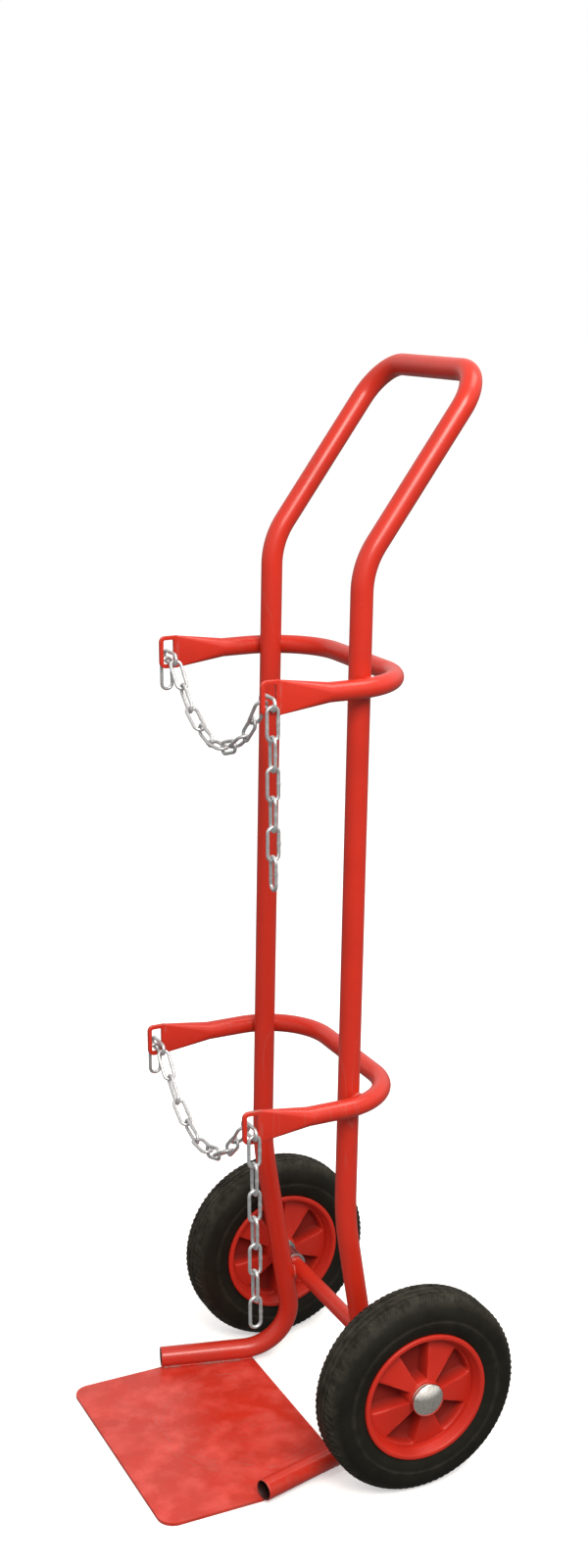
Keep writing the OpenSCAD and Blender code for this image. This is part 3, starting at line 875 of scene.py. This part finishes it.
def rubber_finish(p):
    """Solid black rubber: fine grain, dust on the tread, and a painted highlight along the side wall's ridge.
    """
    finish = bpy.context.scene.trolley_finish
    colour = finish.rubber
    coat = Coat("tyre rubber")
    base = coat.ramp(coat.noise(30, 5), [(0.3, scaled(colour, 0.75)), (0.7, scaled(colour, 1.3))])
    far = coat.around(p.axle, (0, 1, 1))[1]
    tread = coat.span(far, (p.wheel_r - 0.011, p.wheel_r - 0.002), (0.02, 0.24))
    # Painted highlight: a pale ring in the dust colour along the side wall's ridge; the tread gets real dust
    off_ridge = coat.math("ABSOLUTE", coat.math("SUBTRACT", far, p.rim_r + BULGE_H))
    dust_and_ridge_highlight = coat.math("MAXIMUM", tread, coat.span(off_ridge, (0.0006, 0.0050), (0.11, 0)))
    patch = coat.blotch(75, 6, (0.36, 0.68), (0.1, 1), 0.7)
    base = coat.mix(coat.math("MULTIPLY", dust_and_ridge_highlight, patch), base, finish.dust)
    rough = coat.blotch(40, 4, (0.3, 0.7), (0.56, 0.72))
    return coat.dress(base, rough, {"IOR": 1.5, "Specular IOR Level": 0.12}, [
        (coat.noise(900, 3), 0.12, 0.0005), (coat.noise(90, 3), 0.08, 0.0012)])


def metal_finish(name, colour, rough, dull, metallic=1.0):
    """Zinc or nickel plate: crystal spangle, handling dullness and fine grain."""
    coat = Coat(name)
    spangle = coat.add("ShaderNodeTexVoronoi", {"Vector": coat.where, "Scale": 520.0}).outputs["Color"]
    grey = coat.add("ShaderNodeSeparateColor", {0: spangle}).outputs[0]
    base = coat.ramp(grey, [(0.0, scaled(colour, 0.86)), (1.0, scaled(colour, 1.06))])
    base = coat.mix(coat.blotch(120, 4, (0.48, 0.75), (0, dull)), base, scaled(colour, 0.45))
    level = coat.blotch(180, 4, (0.3, 0.7), (rough * 0.8, rough * 1.35))
    return coat.dress(base, level, {"Metallic": metallic}, [
        (coat.noise(1400, 2), 0.03, 0.0002), (coat.noise(260, 2), 0.03, 0.0004)])


def bush_finish():
    """Pale self-lubricating plastic with faint grease stains."""
    colour = bpy.context.scene.trolley_finish.bush
    coat = Coat("bush plastic")
    base = coat.ramp(coat.noise(90, 4), [(0.35, scaled(colour, 0.70)), (0.65, colour)])
    rough = coat.blotch(140, 3, (0.3, 0.7), (0.38, 0.55))
    return coat.dress(base, rough, {}, [(coat.noise(800, 2), 0.06, 0.0004)])


def floor_finish():
    """Matt white floor with the faintest tone drift."""
    colour = bpy.context.scene.trolley_finish.floor
    coat = Coat("studio floor")
    base = coat.ramp(coat.noise(2, 2), [(0.3, scaled(colour, 0.985)), (0.7, scaled(colour, 1.01))])
    return coat.dress(base, 0.9, {
        "Specular IOR Level": 0.1, "Emission Color": WHITE, "Emission Strength": 0.42})


def finishes():
    """The trolley's materials by name, made once."""
    made = bpy.data.materials
    if "frame red paint" not in made:
        finish = bpy.context.scene.trolley_finish
        p = layout()
        paint_finish("frame red paint", 0.35)
        paint_finish("plate red paint", 0.22, (0, p.load_y, 0))
        rim_finish()
        rubber_finish(p)
        metal_finish("chain zinc", finish.links, 0.36, 0.45, 0.74)
        metal_finish("washer zinc", finish.zinc, 0.30, 0.6)
        metal_finish("cap plate", finish.cap, 0.20, 0.35)
        bush_finish()
    return made


# Operators

class TROLLEY_OT_stage(bpy.types.Operator):
    """Sets up the pale floor, the soft light and the camera"""

    bl_idname = "trolley.stage"
    bl_label = "Stage"

    def execute(self, context):
        scene = context.scene
        stage = scene.trolley_stage
        self.floor()
        self.sky(scene)
        self.lamp(scene, "key", stage.key_at, stage.key_aim, stage.key_size, stage.key_power)
        self.lamp(scene, "top", stage.top_at, stage.top_aim, stage.top_size, stage.top_power)
        self.camera(scene, stage)
        return {"FINISHED"}

    def floor(self):
        """A wide plane just under the trolley that only the camera sees."""
        half, drop = 30.0, 0.0006
        bm = bmesh.new()
        bmesh.ops.create_grid(bm, x_segments=1, y_segments=1, size=half)
        bmesh.ops.translate(bm, verts=bm.verts[:], vec=(0, 0, -drop))
        floor = linked("floor", meshed("floor", bm))
        floor.data.materials.append(floor_finish())
        for ray in ("diffuse", "glossy", "shadow"):
            setattr(floor, "visible_" + ray, False)

    def sky(self, scene):
        """Light from all round, weaker from below and from straight above; the camera sees white."""
        world = bpy.data.worlds.new("studio")
        world.use_nodes = True
        nodes = Nodes(world.node_tree)
        back = nodes.own("BACKGROUND").inputs
        height = nodes.split(nodes.add("ShaderNodeTexCoord").outputs["Generated"])["Z"]
        ground = nodes.span(height, (-0.15, 0.28), (0.22, 0.90))
        dome = nodes.span(height, (0.30, 0.70), (1.0, 0.76))
        seen = nodes.add("ShaderNodeLightPath").outputs["Is Camera Ray"]
        nodes.fill(back["Strength"], nodes.math("MAXIMUM", nodes.math("MULTIPLY", ground, dome), seen))
        nodes.fill(back["Color"], nodes.mix(seen, scene.trolley_finish.sky, WHITE))
        scene.world = world
        scene.view_settings.view_transform = "Standard"

    def lamp(self, scene, name, at, aim, size, watts):
        """A square soft light at a place, turned to its aim."""
        data = bpy.data.lights.new(name, "AREA")
        data.shape = "SQUARE"
        data.size = size
        data.energy = watts
        data.color = scene.trolley_finish.lamps[:3]
        turn = (aim - at).to_track_quat("-Z", "Y").to_matrix().to_4x4()
        linked(name, data).matrix_world = Matrix.Translation(at) @ turn

    def camera(self, scene, stage):
        """The camera where it sees the trolley as the picture does."""
        data = bpy.data.cameras.new("camera")
        data.sensor_fit = "VERTICAL"
        data.sensor_width = data.sensor_height = 36.0
        data.lens = stage.lens
        data.clip_start, data.clip_end = 0.05, 200.0
        scene.camera = linked("camera", data)
        turn = stage.camera_turn.to_matrix().to_4x4()
        scene.camera.matrix_world = Matrix.Translation(stage.camera_at) @ turn


class TROLLEY_OT_tubes(bpy.types.Operator):
    """Bends the two rails and the handle from round tube"""

    bl_idname = "trolley.tubes"
    bl_label = "Frame tubes"

    def execute(self, context):
        p = layout()
        f = p.f
        paint = finishes()["frame red paint"]
        outer, inner = p.tube_r, p.tube_r - f.tube_t
        for name, side in SIDES:
            points = [mirrored(v, side) for v in (p.toe_end, p.foot, p.kick, p.joint)]
            path = bent_path(points, [0, f.foot_r, f.kick_r, 0])
            bm = tube(path, outer, inner, (TOE_EDGE, BUTT_EDGE))
            piece(name + "_rail_tube", bm, paint, "frame", [name + "_rail"])
        half = [p.joint, p.lean, p.corner]
        path = bent_path(half + [mirrored(v, -1) for v in half[::-1]],
                         [0, f.lean_r, f.corner_r, f.corner_r, f.lean_r, 0])
        bm = tube(path, outer, inner, (BUTT_EDGE, BUTT_EDGE))
        piece("handle_tube", bm, paint, "frame", ["handle"])
        return {"FINISHED"}


class TROLLEY_OT_hoops(bpy.types.Operator):
    """Bends the two hoops and presses their tips flat"""

    bl_idname = "trolley.hoops"
    bl_label = "Hoops"

    def execute(self, context):
        p = layout()
        paint = finishes()["frame red paint"]
        for name, (z, back, tip) in p.hoops.items():
            bm = bmesh.new()
            self.arms(bm, p, z, back, tip)
            for _, side in SIDES:
                self.eye(bm, p, Vector((side * p.arm_x, tip, z)))
            piece(name + "_hoop_tube", bm, paint, "frame", [name + "_hoop"], merge=0)
        return {"FINISHED"}

    def arms(self, bm, p, z, back, tip):
        """Round tube with a bend at each rear corner that flares into flat tips."""
        f = p.f
        x, root = p.arm_x, tip + p.eye_len
        half = [Vector((x, root + f.flare, z)), Vector((x, back, z))]
        points = half + [mirrored(v, -1) for v in half[::-1]]
        path = stretched(bent_path(points, [0, f.hoop_r, f.hoop_r, 0]))
        steps = 14
        head = [Vector((x, root - FLARE_LAP + (f.flare + FLARE_LAP) * k / steps, z)) for k in range(steps)]
        stations = [(at, Vector((0, 1, 0)), k / steps) for k, at in enumerate(head)]
        tail = [(mirrored(at, -1), -d, share) for at, d, share in stations[::-1]]
        stations += [(at, d, 1.0) for at, d in zip(path, tangents(path))] + tail
        rings = []
        for at, d, share in stations:
            wide, tall = [(size / 2 - EYE_FOLD) * (1 - share) for size in (f.eye_t, f.eye_h)]
            bend = EYE_FOLD + (f.hoop_d / 2 - EYE_FOLD) * share
            across = d.cross(UP).normalized()
            rings.append([
                at + across * (math.copysign(wide, cos) + bend * cos)
                + UP * (math.copysign(tall, sin) + bend * sin)
                for cos, sin in circle(44, 0.5)])
        loft(bm, rings, False)

    def eye(self, bm, p, at):
        """Flat tip of two pressed layers with an upright slot for the chain."""
        f = p.f
        half, deep = f.eye_h / 2, p.eye_len + EYE_LAP
        rise = half - f.eye_r
        outline = (arc((f.eye_r, rise), f.eye_r, 180, 90, 8) + [(deep, half), (deep, -half)]
                   + arc((f.eye_r, -rise), f.eye_r, 270, 180, 8))
        left, right = f.slot_rim + SLOT_R, f.slot_rim + f.slot_w - SLOT_R
        top = f.slot_h / 2 - SLOT_R
        hole = []
        for k, centre in enumerate(((right, top), (left, top), (left, -top), (right, -top))):
            hole += arc(centre, SLOT_R, 90 * k, 90 * k + 90, 6)
        to_yz = Matrix(((0, 0, 1, 0), (1, 0, 0, 0), (0, 1, 0, 0), (0, 0, 0, 1)))
        for shift in (PRESS_GAP, -f.eye_t / 2):
            where = Matrix.Translation(at + Vector((shift, 0, 0))) @ to_yz
            slab(bm, outline, [hole], where, f.eye_t / 2 - PRESS_GAP, EYE_EDGE)


class TROLLEY_OT_toe_plate(bpy.types.Operator):
    """Cuts the toe plate and rounds its edges"""

    bl_idname = "trolley.toe_plate"
    bl_label = "Toe plate"

    def execute(self, context):
        p = layout()
        f = p.f
        front = p.load_y - f.plate_front
        stop = p.load_y + f.plate_rear
        half = f.plate_w / 2
        share = (stop - p.toe_end.y) / (p.foot.y - p.toe_end.y)
        stop_x = f.toe_x + (p.foot.x - f.toe_x) * share
        sides = [(half, p.toe_end.y), (stop_x, stop), (-stop_x, stop), (-half, p.toe_end.y)]
        outline = (arc((half - f.plate_r, front + f.plate_r), f.plate_r, -90, 0, 12) + sides
                   + arc((f.plate_r - half, front + f.plate_r), f.plate_r, 180, 270, 12))
        bm = bmesh.new()
        slab(bm, outline, [], Matrix.Identity(4), f.plate_t, f.plate_edge)
        piece("toe_plate_sheet", bm, finishes()["plate red paint"], "frame", ["toe_plate"], 50)
        return {"FINISHED"}


class TROLLEY_OT_axle(bpy.types.Operator):
    """Turns the axle with its spacers, washers and domed caps"""

    bl_idname = "trolley.axle"
    bl_label = "Axle set"

    def execute(self, context):
        p = layout()
        names = finishes()
        end, r = p.axle_end, p.axle_r
        bar = [(0, -end), (r - AXLE_EDGE, -end), (r, -end + AXLE_EDGE)]
        straight = [(r, (end - 4 * AXLE_EDGE) * (k / 20 - 1)) for k in range(41)]
        bar += straight + [(r, -x) for r, x in bar[::-1]]
        piece("axle_bar", lathe(bar, p.axle, 48), names["frame red paint"], "frame", ["axle"])
        spacer = (p.rail_x + p.tube_r + SPACER_GAP, p.wheel_x - p.washer_end - SIDE_GAP)
        inner, outer = p.wheel_x - p.washer_end, p.wheel_x + p.washer_end - WASHER_T
        for side, s in SIDES:
            for node, start, stop, wall, kind in (
                    ("_spacer", *spacer, SPACER_T, "_sleeve"),
                    ("_inner_washer", inner, inner + WASHER_T, WASHER_RIM, "_disc"),
                    ("_outer_washer", outer, outer + WASHER_T, WASHER_RIM, "_disc")):
                bm = self.pipe(p, s, start, stop, p.axle_r + wall)
                piece(side + node + kind, bm, names["washer zinc"], "frame", [side + node])
            bm = self.cap(p, s)
            piece(side + "_cap_dome", bm, names["cap plate"], "frame", [side + "_cap"])
        return {"FINISHED"}

    def pipe(self, p, s, start, stop, outer):
        """A turned ring between two places along the axle."""
        inner = p.axle_r + SEAT_GAP
        section = [(inner, start), (outer, start), (outer, stop), (inner, stop)]
        return lathe([(r, s * x) for r, x in rounded(section, TURNED_EDGE)], p.axle, 64)

    def cap(self, p, s):
        """A pressed cap: rolled skirt, bore for the axle and a dome."""
        w, e = p.w, TURNED_EDGE
        outer, bore, grip = w.cap_d / 2, p.axle_r + SEAT_GAP, CAP_GRIP + SEAT_GAP
        dome_r = (outer ** 2 + w.dome_h ** 2) / (2 * w.dome_h)
        profile = [(0, grip), (bore, grip), (bore, e), (bore + e, 0)]
        profile += [(outer - 3 * e, 0), (outer - e, e), (outer, 3.25 * e), (outer, CAP_SKIRT - 1.5 * e)]
        top = math.asin(min(1.0, (outer - 1.5 * e) / dome_r))
        for k in range(19):
            t = top * (1 - k / 18)
            profile.append((dome_r * math.sin(t), CAP_SKIRT + w.dome_h - dome_r + dome_r * math.cos(t)))
        return lathe([(r, s * (p.cap_x + x)) for r, x in profile], p.axle, 72)


class TROLLEY_OT_rims(bpy.types.Operator):
    """Moulds the two spoked rims and their bushes"""

    bl_idname = "trolley.rims"
    bl_label = "Rims and bushes"

    def execute(self, context):
        p = layout()
        names = finishes()
        for side, s in SIDES:
            body, node = side + "_wheel", side + "_rim"
            bm = self.mould(p, s)
            piece(node + "_moulding", bm, names["rim red plastic"], body, [node], 52)
            for end, out in (("inner", -1), ("outer", 1)):
                node = side + "_" + end + "_bush"
                bm = self.bush(p, s, out)
                piece(node + "_sleeve", bm, names["bush plastic"], body, [node])
        return {"FINISHED"}

    def mould(self, p, s):
        """Rim as rings of points round the axle; pockets push the web's face in between the spokes."""
        w = p.w
        seat_r = p.rim_r - LIP_H
        barrel_r = seat_r - BARREL_T
        lip = w.tyre_w / 2 - LIP_IN
        hub_r, hub_x = w.hub_d / 2, w.hub_len / 2
        web_hub = hub_x - WEB_STEP
        bore = p.axle_r + BUSH_T
        near, far = POCKET_WALLS
        pocket_in, pocket_out = hub_r + POCKET_HUB, barrel_r - POCKET_RIM

        def web(r):
            return web_hub + (WEB_RIM - web_hub) * (r - hub_r) / (barrel_r - hub_r)

        end, root = hub_r - HUB_TAPER, hub_r + HUB_ROOT
        face = eased([(bore, hub_x - RIM_EDGE), (bore, hub_x), (end, hub_x), (root, web(root))], HUB_ROUNDS)
        radii = stepped(pocket_in - near, pocket_in + near, 6)
        radii += stepped(pocket_in + near, pocket_out - far, 9)
        radii += stepped(pocket_out - far, pocket_out + far, 6)
        face += [(r, web(r)) for r in radii]
        face += eased([(barrel_r - RIM_EDGE, WEB_RIM), (barrel_r, WEB_RIM), (barrel_r, WEB_RIM + LIP_FOOT),
                       (p.rim_r - LIP_CREST, lip), (p.rim_r, lip), (p.rim_r, lip - LIP_T),
                       (seat_r + SEAT_EDGE, lip - LIP_T)], LIP_ROUNDS, 5)

        sector = TAU / w.spokes
        half = sector / 2 * w.pocket_share
        low, high = half - POCKET_DRAFT, half + POCKET_DRAFT
        offsets = ([0, low] + stepped(0, half * 0.82, 4) + stepped(low, high, 8)
                   + stepped(high, sector / 2, 5))
        turns = sorted({round(sign * v, 6) for v in offsets for sign in (1, -1)})[1:]
        phase = w.rim_turn - QUARTER
        angles = [(i * sector + t + phase, abs(t)) for i in range(w.spokes) for t in turns]

        rings, shares = [], []
        for r, x in face + [(r, -x) for r, x in face[::-1]]:
            across = 0.0
            if pocket_in - near < r < pocket_out + far and abs(abs(x) - web(r)) < 1e-6:
                across = smooth(r, pocket_in - near, pocket_in + near)
                across *= 1 - smooth(r, pocket_out - far, pocket_out + far)
            row = [across * (1 - smooth(local, low, high)) for _, local in angles]
            push = math.copysign(abs(x) - WEB_FLOOR, x)
            rings.append([
                p.axle + Vector((s * p.wheel_x + x - push * share, r * math.cos(t), r * math.sin(t)))
                for (t, _), share in zip(angles, row)])
            shares.append(row)
        bm = bmesh.new()
        # Each point's share of pocket depth, used by the rim's finish for painted shade and rougher plastic
        # in the pockets
        mark = bm.verts.layers.float.new("pocket")
        for verts, row in zip(loft(bm, rings, True), shares):
            for vert, share in zip(verts, row):
                vert[mark] = share
        return bm

    def bush(self, p, s, out):
        """A flanged bush pressed into one end of the hub."""
        bore, body_r = p.axle_r + RUN_GAP, p.axle_r + BUSH_T
        hub = p.w.hub_len / 2
        section = [(bore, hub - BUSH_LEN), (body_r, hub - BUSH_LEN), (body_r, hub), (body_r + FLANGE, hub),
                   (body_r + FLANGE, p.flange_end), (bore, p.flange_end)]
        return lathe([(r, s * (p.wheel_x + out * x)) for r, x in rounded(section, BUSH_EDGE)], p.axle, 64)


class TROLLEY_OT_tyres(bpy.types.Operator):
    """Moulds the two solid tyres with their tread"""

    bl_idname = "trolley.tyres"
    bl_label = "Tyres"

    def execute(self, context):
        p = layout()
        rubber = finishes()["tyre rubber"]
        sizes = {"Ribs": p.w.ribs, "Axle": tuple(p.axle)}
        tree = tread_tree(rubber, sizes)
        for side, s in SIDES:
            hub = p.axle + Vector((s * p.wheel_x, 0, 0))
            body = side + "_wheel"
            bm = lathe(self.section(p), hub, 144)
            piece(side + "_tyre_ring", bm, rubber, body, [side + "_tyre"], 48)
            ribs = tree.grow(self.rib(p), {**sizes, "Axle": tuple(hub)})
            settle(side + "_tyre_tread", ribs, rubber, body, [], 30)
        return {"FINISHED"}

    def section(self, p):
        """Closed section of the tyre: bead, ridged side wall, round shoulder and grooved crown."""
        w = p.w
        half = w.tyre_w / 2
        seat, wall = p.rim_r - LIP_H + SEAT_GAP, p.rim_r + SEAT_GAP
        bead = half - LIP_IN - LIP_T - SEAT_GAP
        centre_r, centre_x = p.wheel_r - w.tyre_r, half - w.tyre_r
        side = [(seat, bead - BEAD_EDGE), (seat + BEAD_EDGE, bead),
                (wall - WALL_EDGE, bead), (wall, bead + WALL_EDGE)]
        # The side wall starts with a hair more room over the rim's lip
        hair = 0.00005
        for k in range(33):
            r = wall + (centre_r - wall) * k / 32
            below = wall + BULGE_H - r
            sunk = BULGE_IN * max(0.0, below / BULGE_H) ** 2
            ridge = RIDGE_H * math.exp(-(below / RIDGE_W) ** 2)
            side.append((r + hair * (k == 0), half - sunk + ridge))
        for t in stepped(0, math.radians(68), 18):
            side.append((centre_r + w.tyre_r * math.sin(t), centre_x + w.tyre_r * math.cos(t)))
        grooves = (w.tyre_w / 7, 0.0)
        last = side[-1][1]
        stops = {round(last * k / 8, 7) for k in range(8)}
        for groove in grooves:
            for edge in (GROOVE_HALF, -GROOVE_HALF):
                stops |= {round(groove + edge + d, 7) for d in (GROOVE_EDGE, 0, -GROOVE_EDGE)}
        for x in sorted((v for v in stops if 0 <= v < last), reverse=True):
            r = centre_r + math.sqrt(w.tyre_r ** 2 - max(0.0, x - centre_x) ** 2)
            near = min(abs(x - groove) for groove in grooves)
            share = (GROOVE_HALF + GROOVE_EDGE * 0.2 - near) / (GROOVE_EDGE * 0.9)
            side.append((r - GROOVE_DEEP * max(0.0, min(1.0, share)), x))
        return side + [(r, -x) for r, x in side[::-1] if x > 1e-9]

    def rib(self, p):
        """A slanted rib over each shoulder, drawn about the axle's line."""
        w = p.w
        centre_r, centre_x = p.wheel_r - w.tyre_r, w.tyre_w / 2 - w.tyre_r
        steps, low, high = 5, 7, 40
        bm = bmesh.new()
        for s in (1, -1):
            rings = []
            for k in range(steps + 1):
                t = math.radians(low + (high - low) * k / steps)
                top = w.rib_h * (RIB_END if k in (0, steps) else 1.0)
                widths = (-RIB_FOOT, -RIB_TOP, RIB_TOP, RIB_FOOT)
                lifts = (-RIB_ROOT, top, top, -RIB_ROOT)
                ring = []
                for width, lift in zip(widths, lifts):
                    reach = w.tyre_r + lift
                    r = centre_r + reach * math.cos(t)
                    turn = RIB_LEAN * k / steps + width / r
                    x = s * (centre_x + reach * math.sin(t))
                    ring.append(Vector((x, r * math.cos(turn), r * math.sin(turn))))
                rings.append(ring)
            loft(bm, rings, False)
        bmesh.ops.recalc_face_normals(bm, faces=bm.faces[:])
        return meshed("tread rib", bm)


class TROLLEY_OT_chains(bpy.types.Operator):
    """Hangs the chains and their loose ends from the hoops"""

    bl_idname = "trolley.chains"
    bl_label = "Chains"

    def execute(self, context):
        p = layout()
        c = p.c
        zinc = finishes()["chain zinc"]
        sizes = {"Inside length": c.link_len, "Inside width": c.link_w, "Wire": c.wire_d,
                 "Weld swell": c.weld_swell}
        tree = link_tree(zinc, sizes)
        tails = {"upper": c.upper_tail, "lower": c.lower_tail}
        for name, (z, _, tip) in p.hoops.items():
            span_links, tail_links = self.places(p, z, tip, tails[name])
            for links, kind, body, node in ((span_links, "_span_links", "_span", "_chain"),
                                            (tail_links, "_tail_links", "_end", "_tail")):
                mesh = tree.grow(self.cloud(links), sizes)
                settle(name + kind, mesh, zinc, name + body, [name + node], 80)
        return {"FINISHED"}

    def cloud(self, links):
        """One point for each link, with its turn."""
        mesh = bpy.data.meshes.new("link places")
        mesh.from_pydata([at for at, _ in links], [], [])
        turn = mesh.attributes.new("turn", "FLOAT_VECTOR", "POINT")
        turn.data.foreach_set("vector", [v for _, euler in links for v in euler])
        return mesh

    def places(self, p, z, tip, tail):
        """Middles and turns of the links of one chain and of its loose end."""
        f, c = p.f, p.c
        link_r = (c.link_w + c.wire_d) / 2
        link_half = (c.link_len - c.link_w) / 2
        pitch = c.link_len - c.link_gap
        hook = (c.link_w - c.link_gap) / 2
        end_x = p.arm_x + f.eye_t / 2 + EYE_ROOM + c.wire_d / 2
        eye_x = end_x - link_half
        span_x = eye_x - link_half
        y = tip + f.slot_rim + f.slot_w / 2
        top = z - (f.slot_h / 2 - c.link_gap - c.wire_d / 2 - link_r)

        def falls(sag):
            return [math.atan(sag * (i - (c.span_links - 1) / 2)) for i in range(c.span_links)]

        def reach(sag):
            return hook * math.cos(falls(sag)[0]) + sum(pitch / 2 * math.cos(t) for t in falls(sag))

        low, steepest = 0.0, 3.0
        for _ in range(50):
            sag = (low + steepest) / 2
            low, steepest = (sag, steepest) if reach(sag) > span_x else (low, sag)
        links = [((s * eye_x, y, top), (QUARTER, 0, 0)) for s in (1, -1)]
        first = falls(sag)[0]
        at = Vector((span_x - hook * math.cos(first), y, top + hook * math.sin(first)))
        for i, t in enumerate(falls(sag)):
            step = pitch * Vector((-math.cos(t), 0, math.sin(t)))
            links.append((tuple(at + step / 2), (QUARTER * (i % 2), t, 0)))
            at = at + step

        def hanging(x, i):
            return (x, y, top - hook - pitch * (i + 0.5)), (QUARTER * (i % 2), QUARTER, 0)

        return links + [hanging(-end_x, 0)], [hanging(end_x, i) for i in range(tail)]


class TROLLEY_OT_welds(bpy.types.Operator):
    """Lays the weld beads where tubes, axle and plate meet"""

    bl_idname = "trolley.welds"
    bl_label = "Welds"

    def execute(self, context):
        p = layout()
        f = p.f
        paint = finishes()["frame red paint"]
        rings, seams = [], []
        for z, _, _ in p.hoops.values():
            for _, s in SIDES:
                outward = Vector((s * math.sin(f.seat_angle), math.cos(f.seat_angle), 0))
                at = Vector((s * p.rail_x, p.rail_y(z), z)) + outward * p.tube_r
                rings.append(self.crossing(at, outward, UP, p.tube_r, f.hoop_d / 2))
        slope = Vector((0, -math.sin(f.kick_lean), math.cos(f.kick_lean)))
        outward = Vector((0, math.cos(f.kick_lean), math.sin(f.kick_lean)))
        for _, s in SIDES:
            at = Vector((s * p.rail_x, p.axle.y, p.axle.z)) - outward * p.axle_r
            rings.append(self.crossing(at, outward, slope, p.tube_r, p.axle_r))
            seams += self.toe_seams(p, s)
        verts, edges = [], []
        for line, closed in [(ring, True) for ring in rings] + [(seam, False) for seam in seams]:
            base, last = len(verts), len(line) - 1
            verts += line
            edges += [(base + i, base + i + 1) for i in range(last)]
            if closed:
                edges.append((base + last, base))
        mesh = bpy.data.meshes.new("weld lines")
        mesh.from_pydata(verts, edges, [])
        sizes = {"Bead": f.bead, "Step": f.bead * BEAD_STEP, "Seed": SEED}
        made = bead_tree(paint, sizes).grow(mesh, sizes)
        settle("weld_beads", made, paint, "frame", [], 60)
        return {"FINISHED"}

    def toe_seams(self, p, s):
        """Two seams along a toe tube: one on the plate, one under the tube at the plate's edge."""
        f, steps = p.f, 40
        start, stop = mirrored(p.toe_end, s), mirrored(p.foot, s)
        along = (stop - start).normalized()
        beside = along.cross(UP) * s
        run = (p.load_y + f.plate_rear - p.toe_end.y) / abs(along.y) - WELD_STOP
        overhang = f.toe_x - f.plate_w / 2
        upper, lower = [], []
        for k in range(steps + 1):
            at = start + along * (WELD_START + run * k / steps)
            inner = at - beside * WELD_INNER
            outer = at + beside * (WELD_OUTER - overhang * (1 - k / steps))
            upper.append(Vector((inner.x, inner.y, f.plate_t + WELD_RISE)))
            lower.append(Vector((outer.x, outer.y, f.plate_t - WELD_RISE)))
        return upper, lower

    def crossing(self, at, outward, axis, first_r, second_r):
        """Ring of weld between two crossed tubes; axis is the first tube's, outward points to the second."""
        across = axis.cross(outward)
        line = []
        for cos, sin in circle(40):
            u, v = WELD_R * cos, WELD_R * sin
            lift = (v * v / (2 * second_r) - u * u / (2 * first_r)) / 2
            line.append(at + across * u + axis * v + outward * lift)
        return line


class TROLLEY_PT_panel(bpy.types.Panel):
    """Lists the trolley's steps and sizes"""

    bl_idname = "TROLLEY_PT_panel"
    bl_label = "Gas cylinder trolley"
    bl_space_type = "VIEW_3D"
    bl_region_type = "UI"
    bl_category = "Trolley"

    def draw(self, context):
        for step in STEPS:
            self.layout.operator(step.bl_idname)
        for name, group in GROUPS.items():
            box = self.layout.box()
            box.label(text=group.__doc__)
            for key in group.__annotations__:
                box.prop(getattr(context.scene, name), key)


STEPS = (TROLLEY_OT_stage, TROLLEY_OT_tubes, TROLLEY_OT_hoops, TROLLEY_OT_toe_plate, TROLLEY_OT_axle,
         TROLLEY_OT_rims, TROLLEY_OT_tyres, TROLLEY_OT_chains, TROLLEY_OT_welds)
CLASSES = (*GROUPS.values(), *STEPS, TROLLEY_PT_panel)


def register():
    for cls in CLASSES:
        bpy.utils.register_class(cls)
    for name, group in GROUPS.items():
        setattr(bpy.types.Scene, name, bpy.props.PointerProperty(type=group))


def unregister():
    for name in GROUPS:
        delattr(bpy.types.Scene, name)
    for cls in reversed(CLASSES):
        bpy.utils.unregister_class(cls)


def main():
    register()
    bpy.ops.trolley.stage()
    bpy.ops.trolley.tubes()
    bpy.ops.trolley.hoops()
    bpy.ops.trolley.toe_plate()
    bpy.ops.trolley.axle()
    bpy.ops.trolley.rims()
    bpy.ops.trolley.tyres()
    bpy.ops.trolley.chains()
    bpy.ops.trolley.welds()
    bpy.context.view_layer.update()


if __name__ == "__main__":
    main()
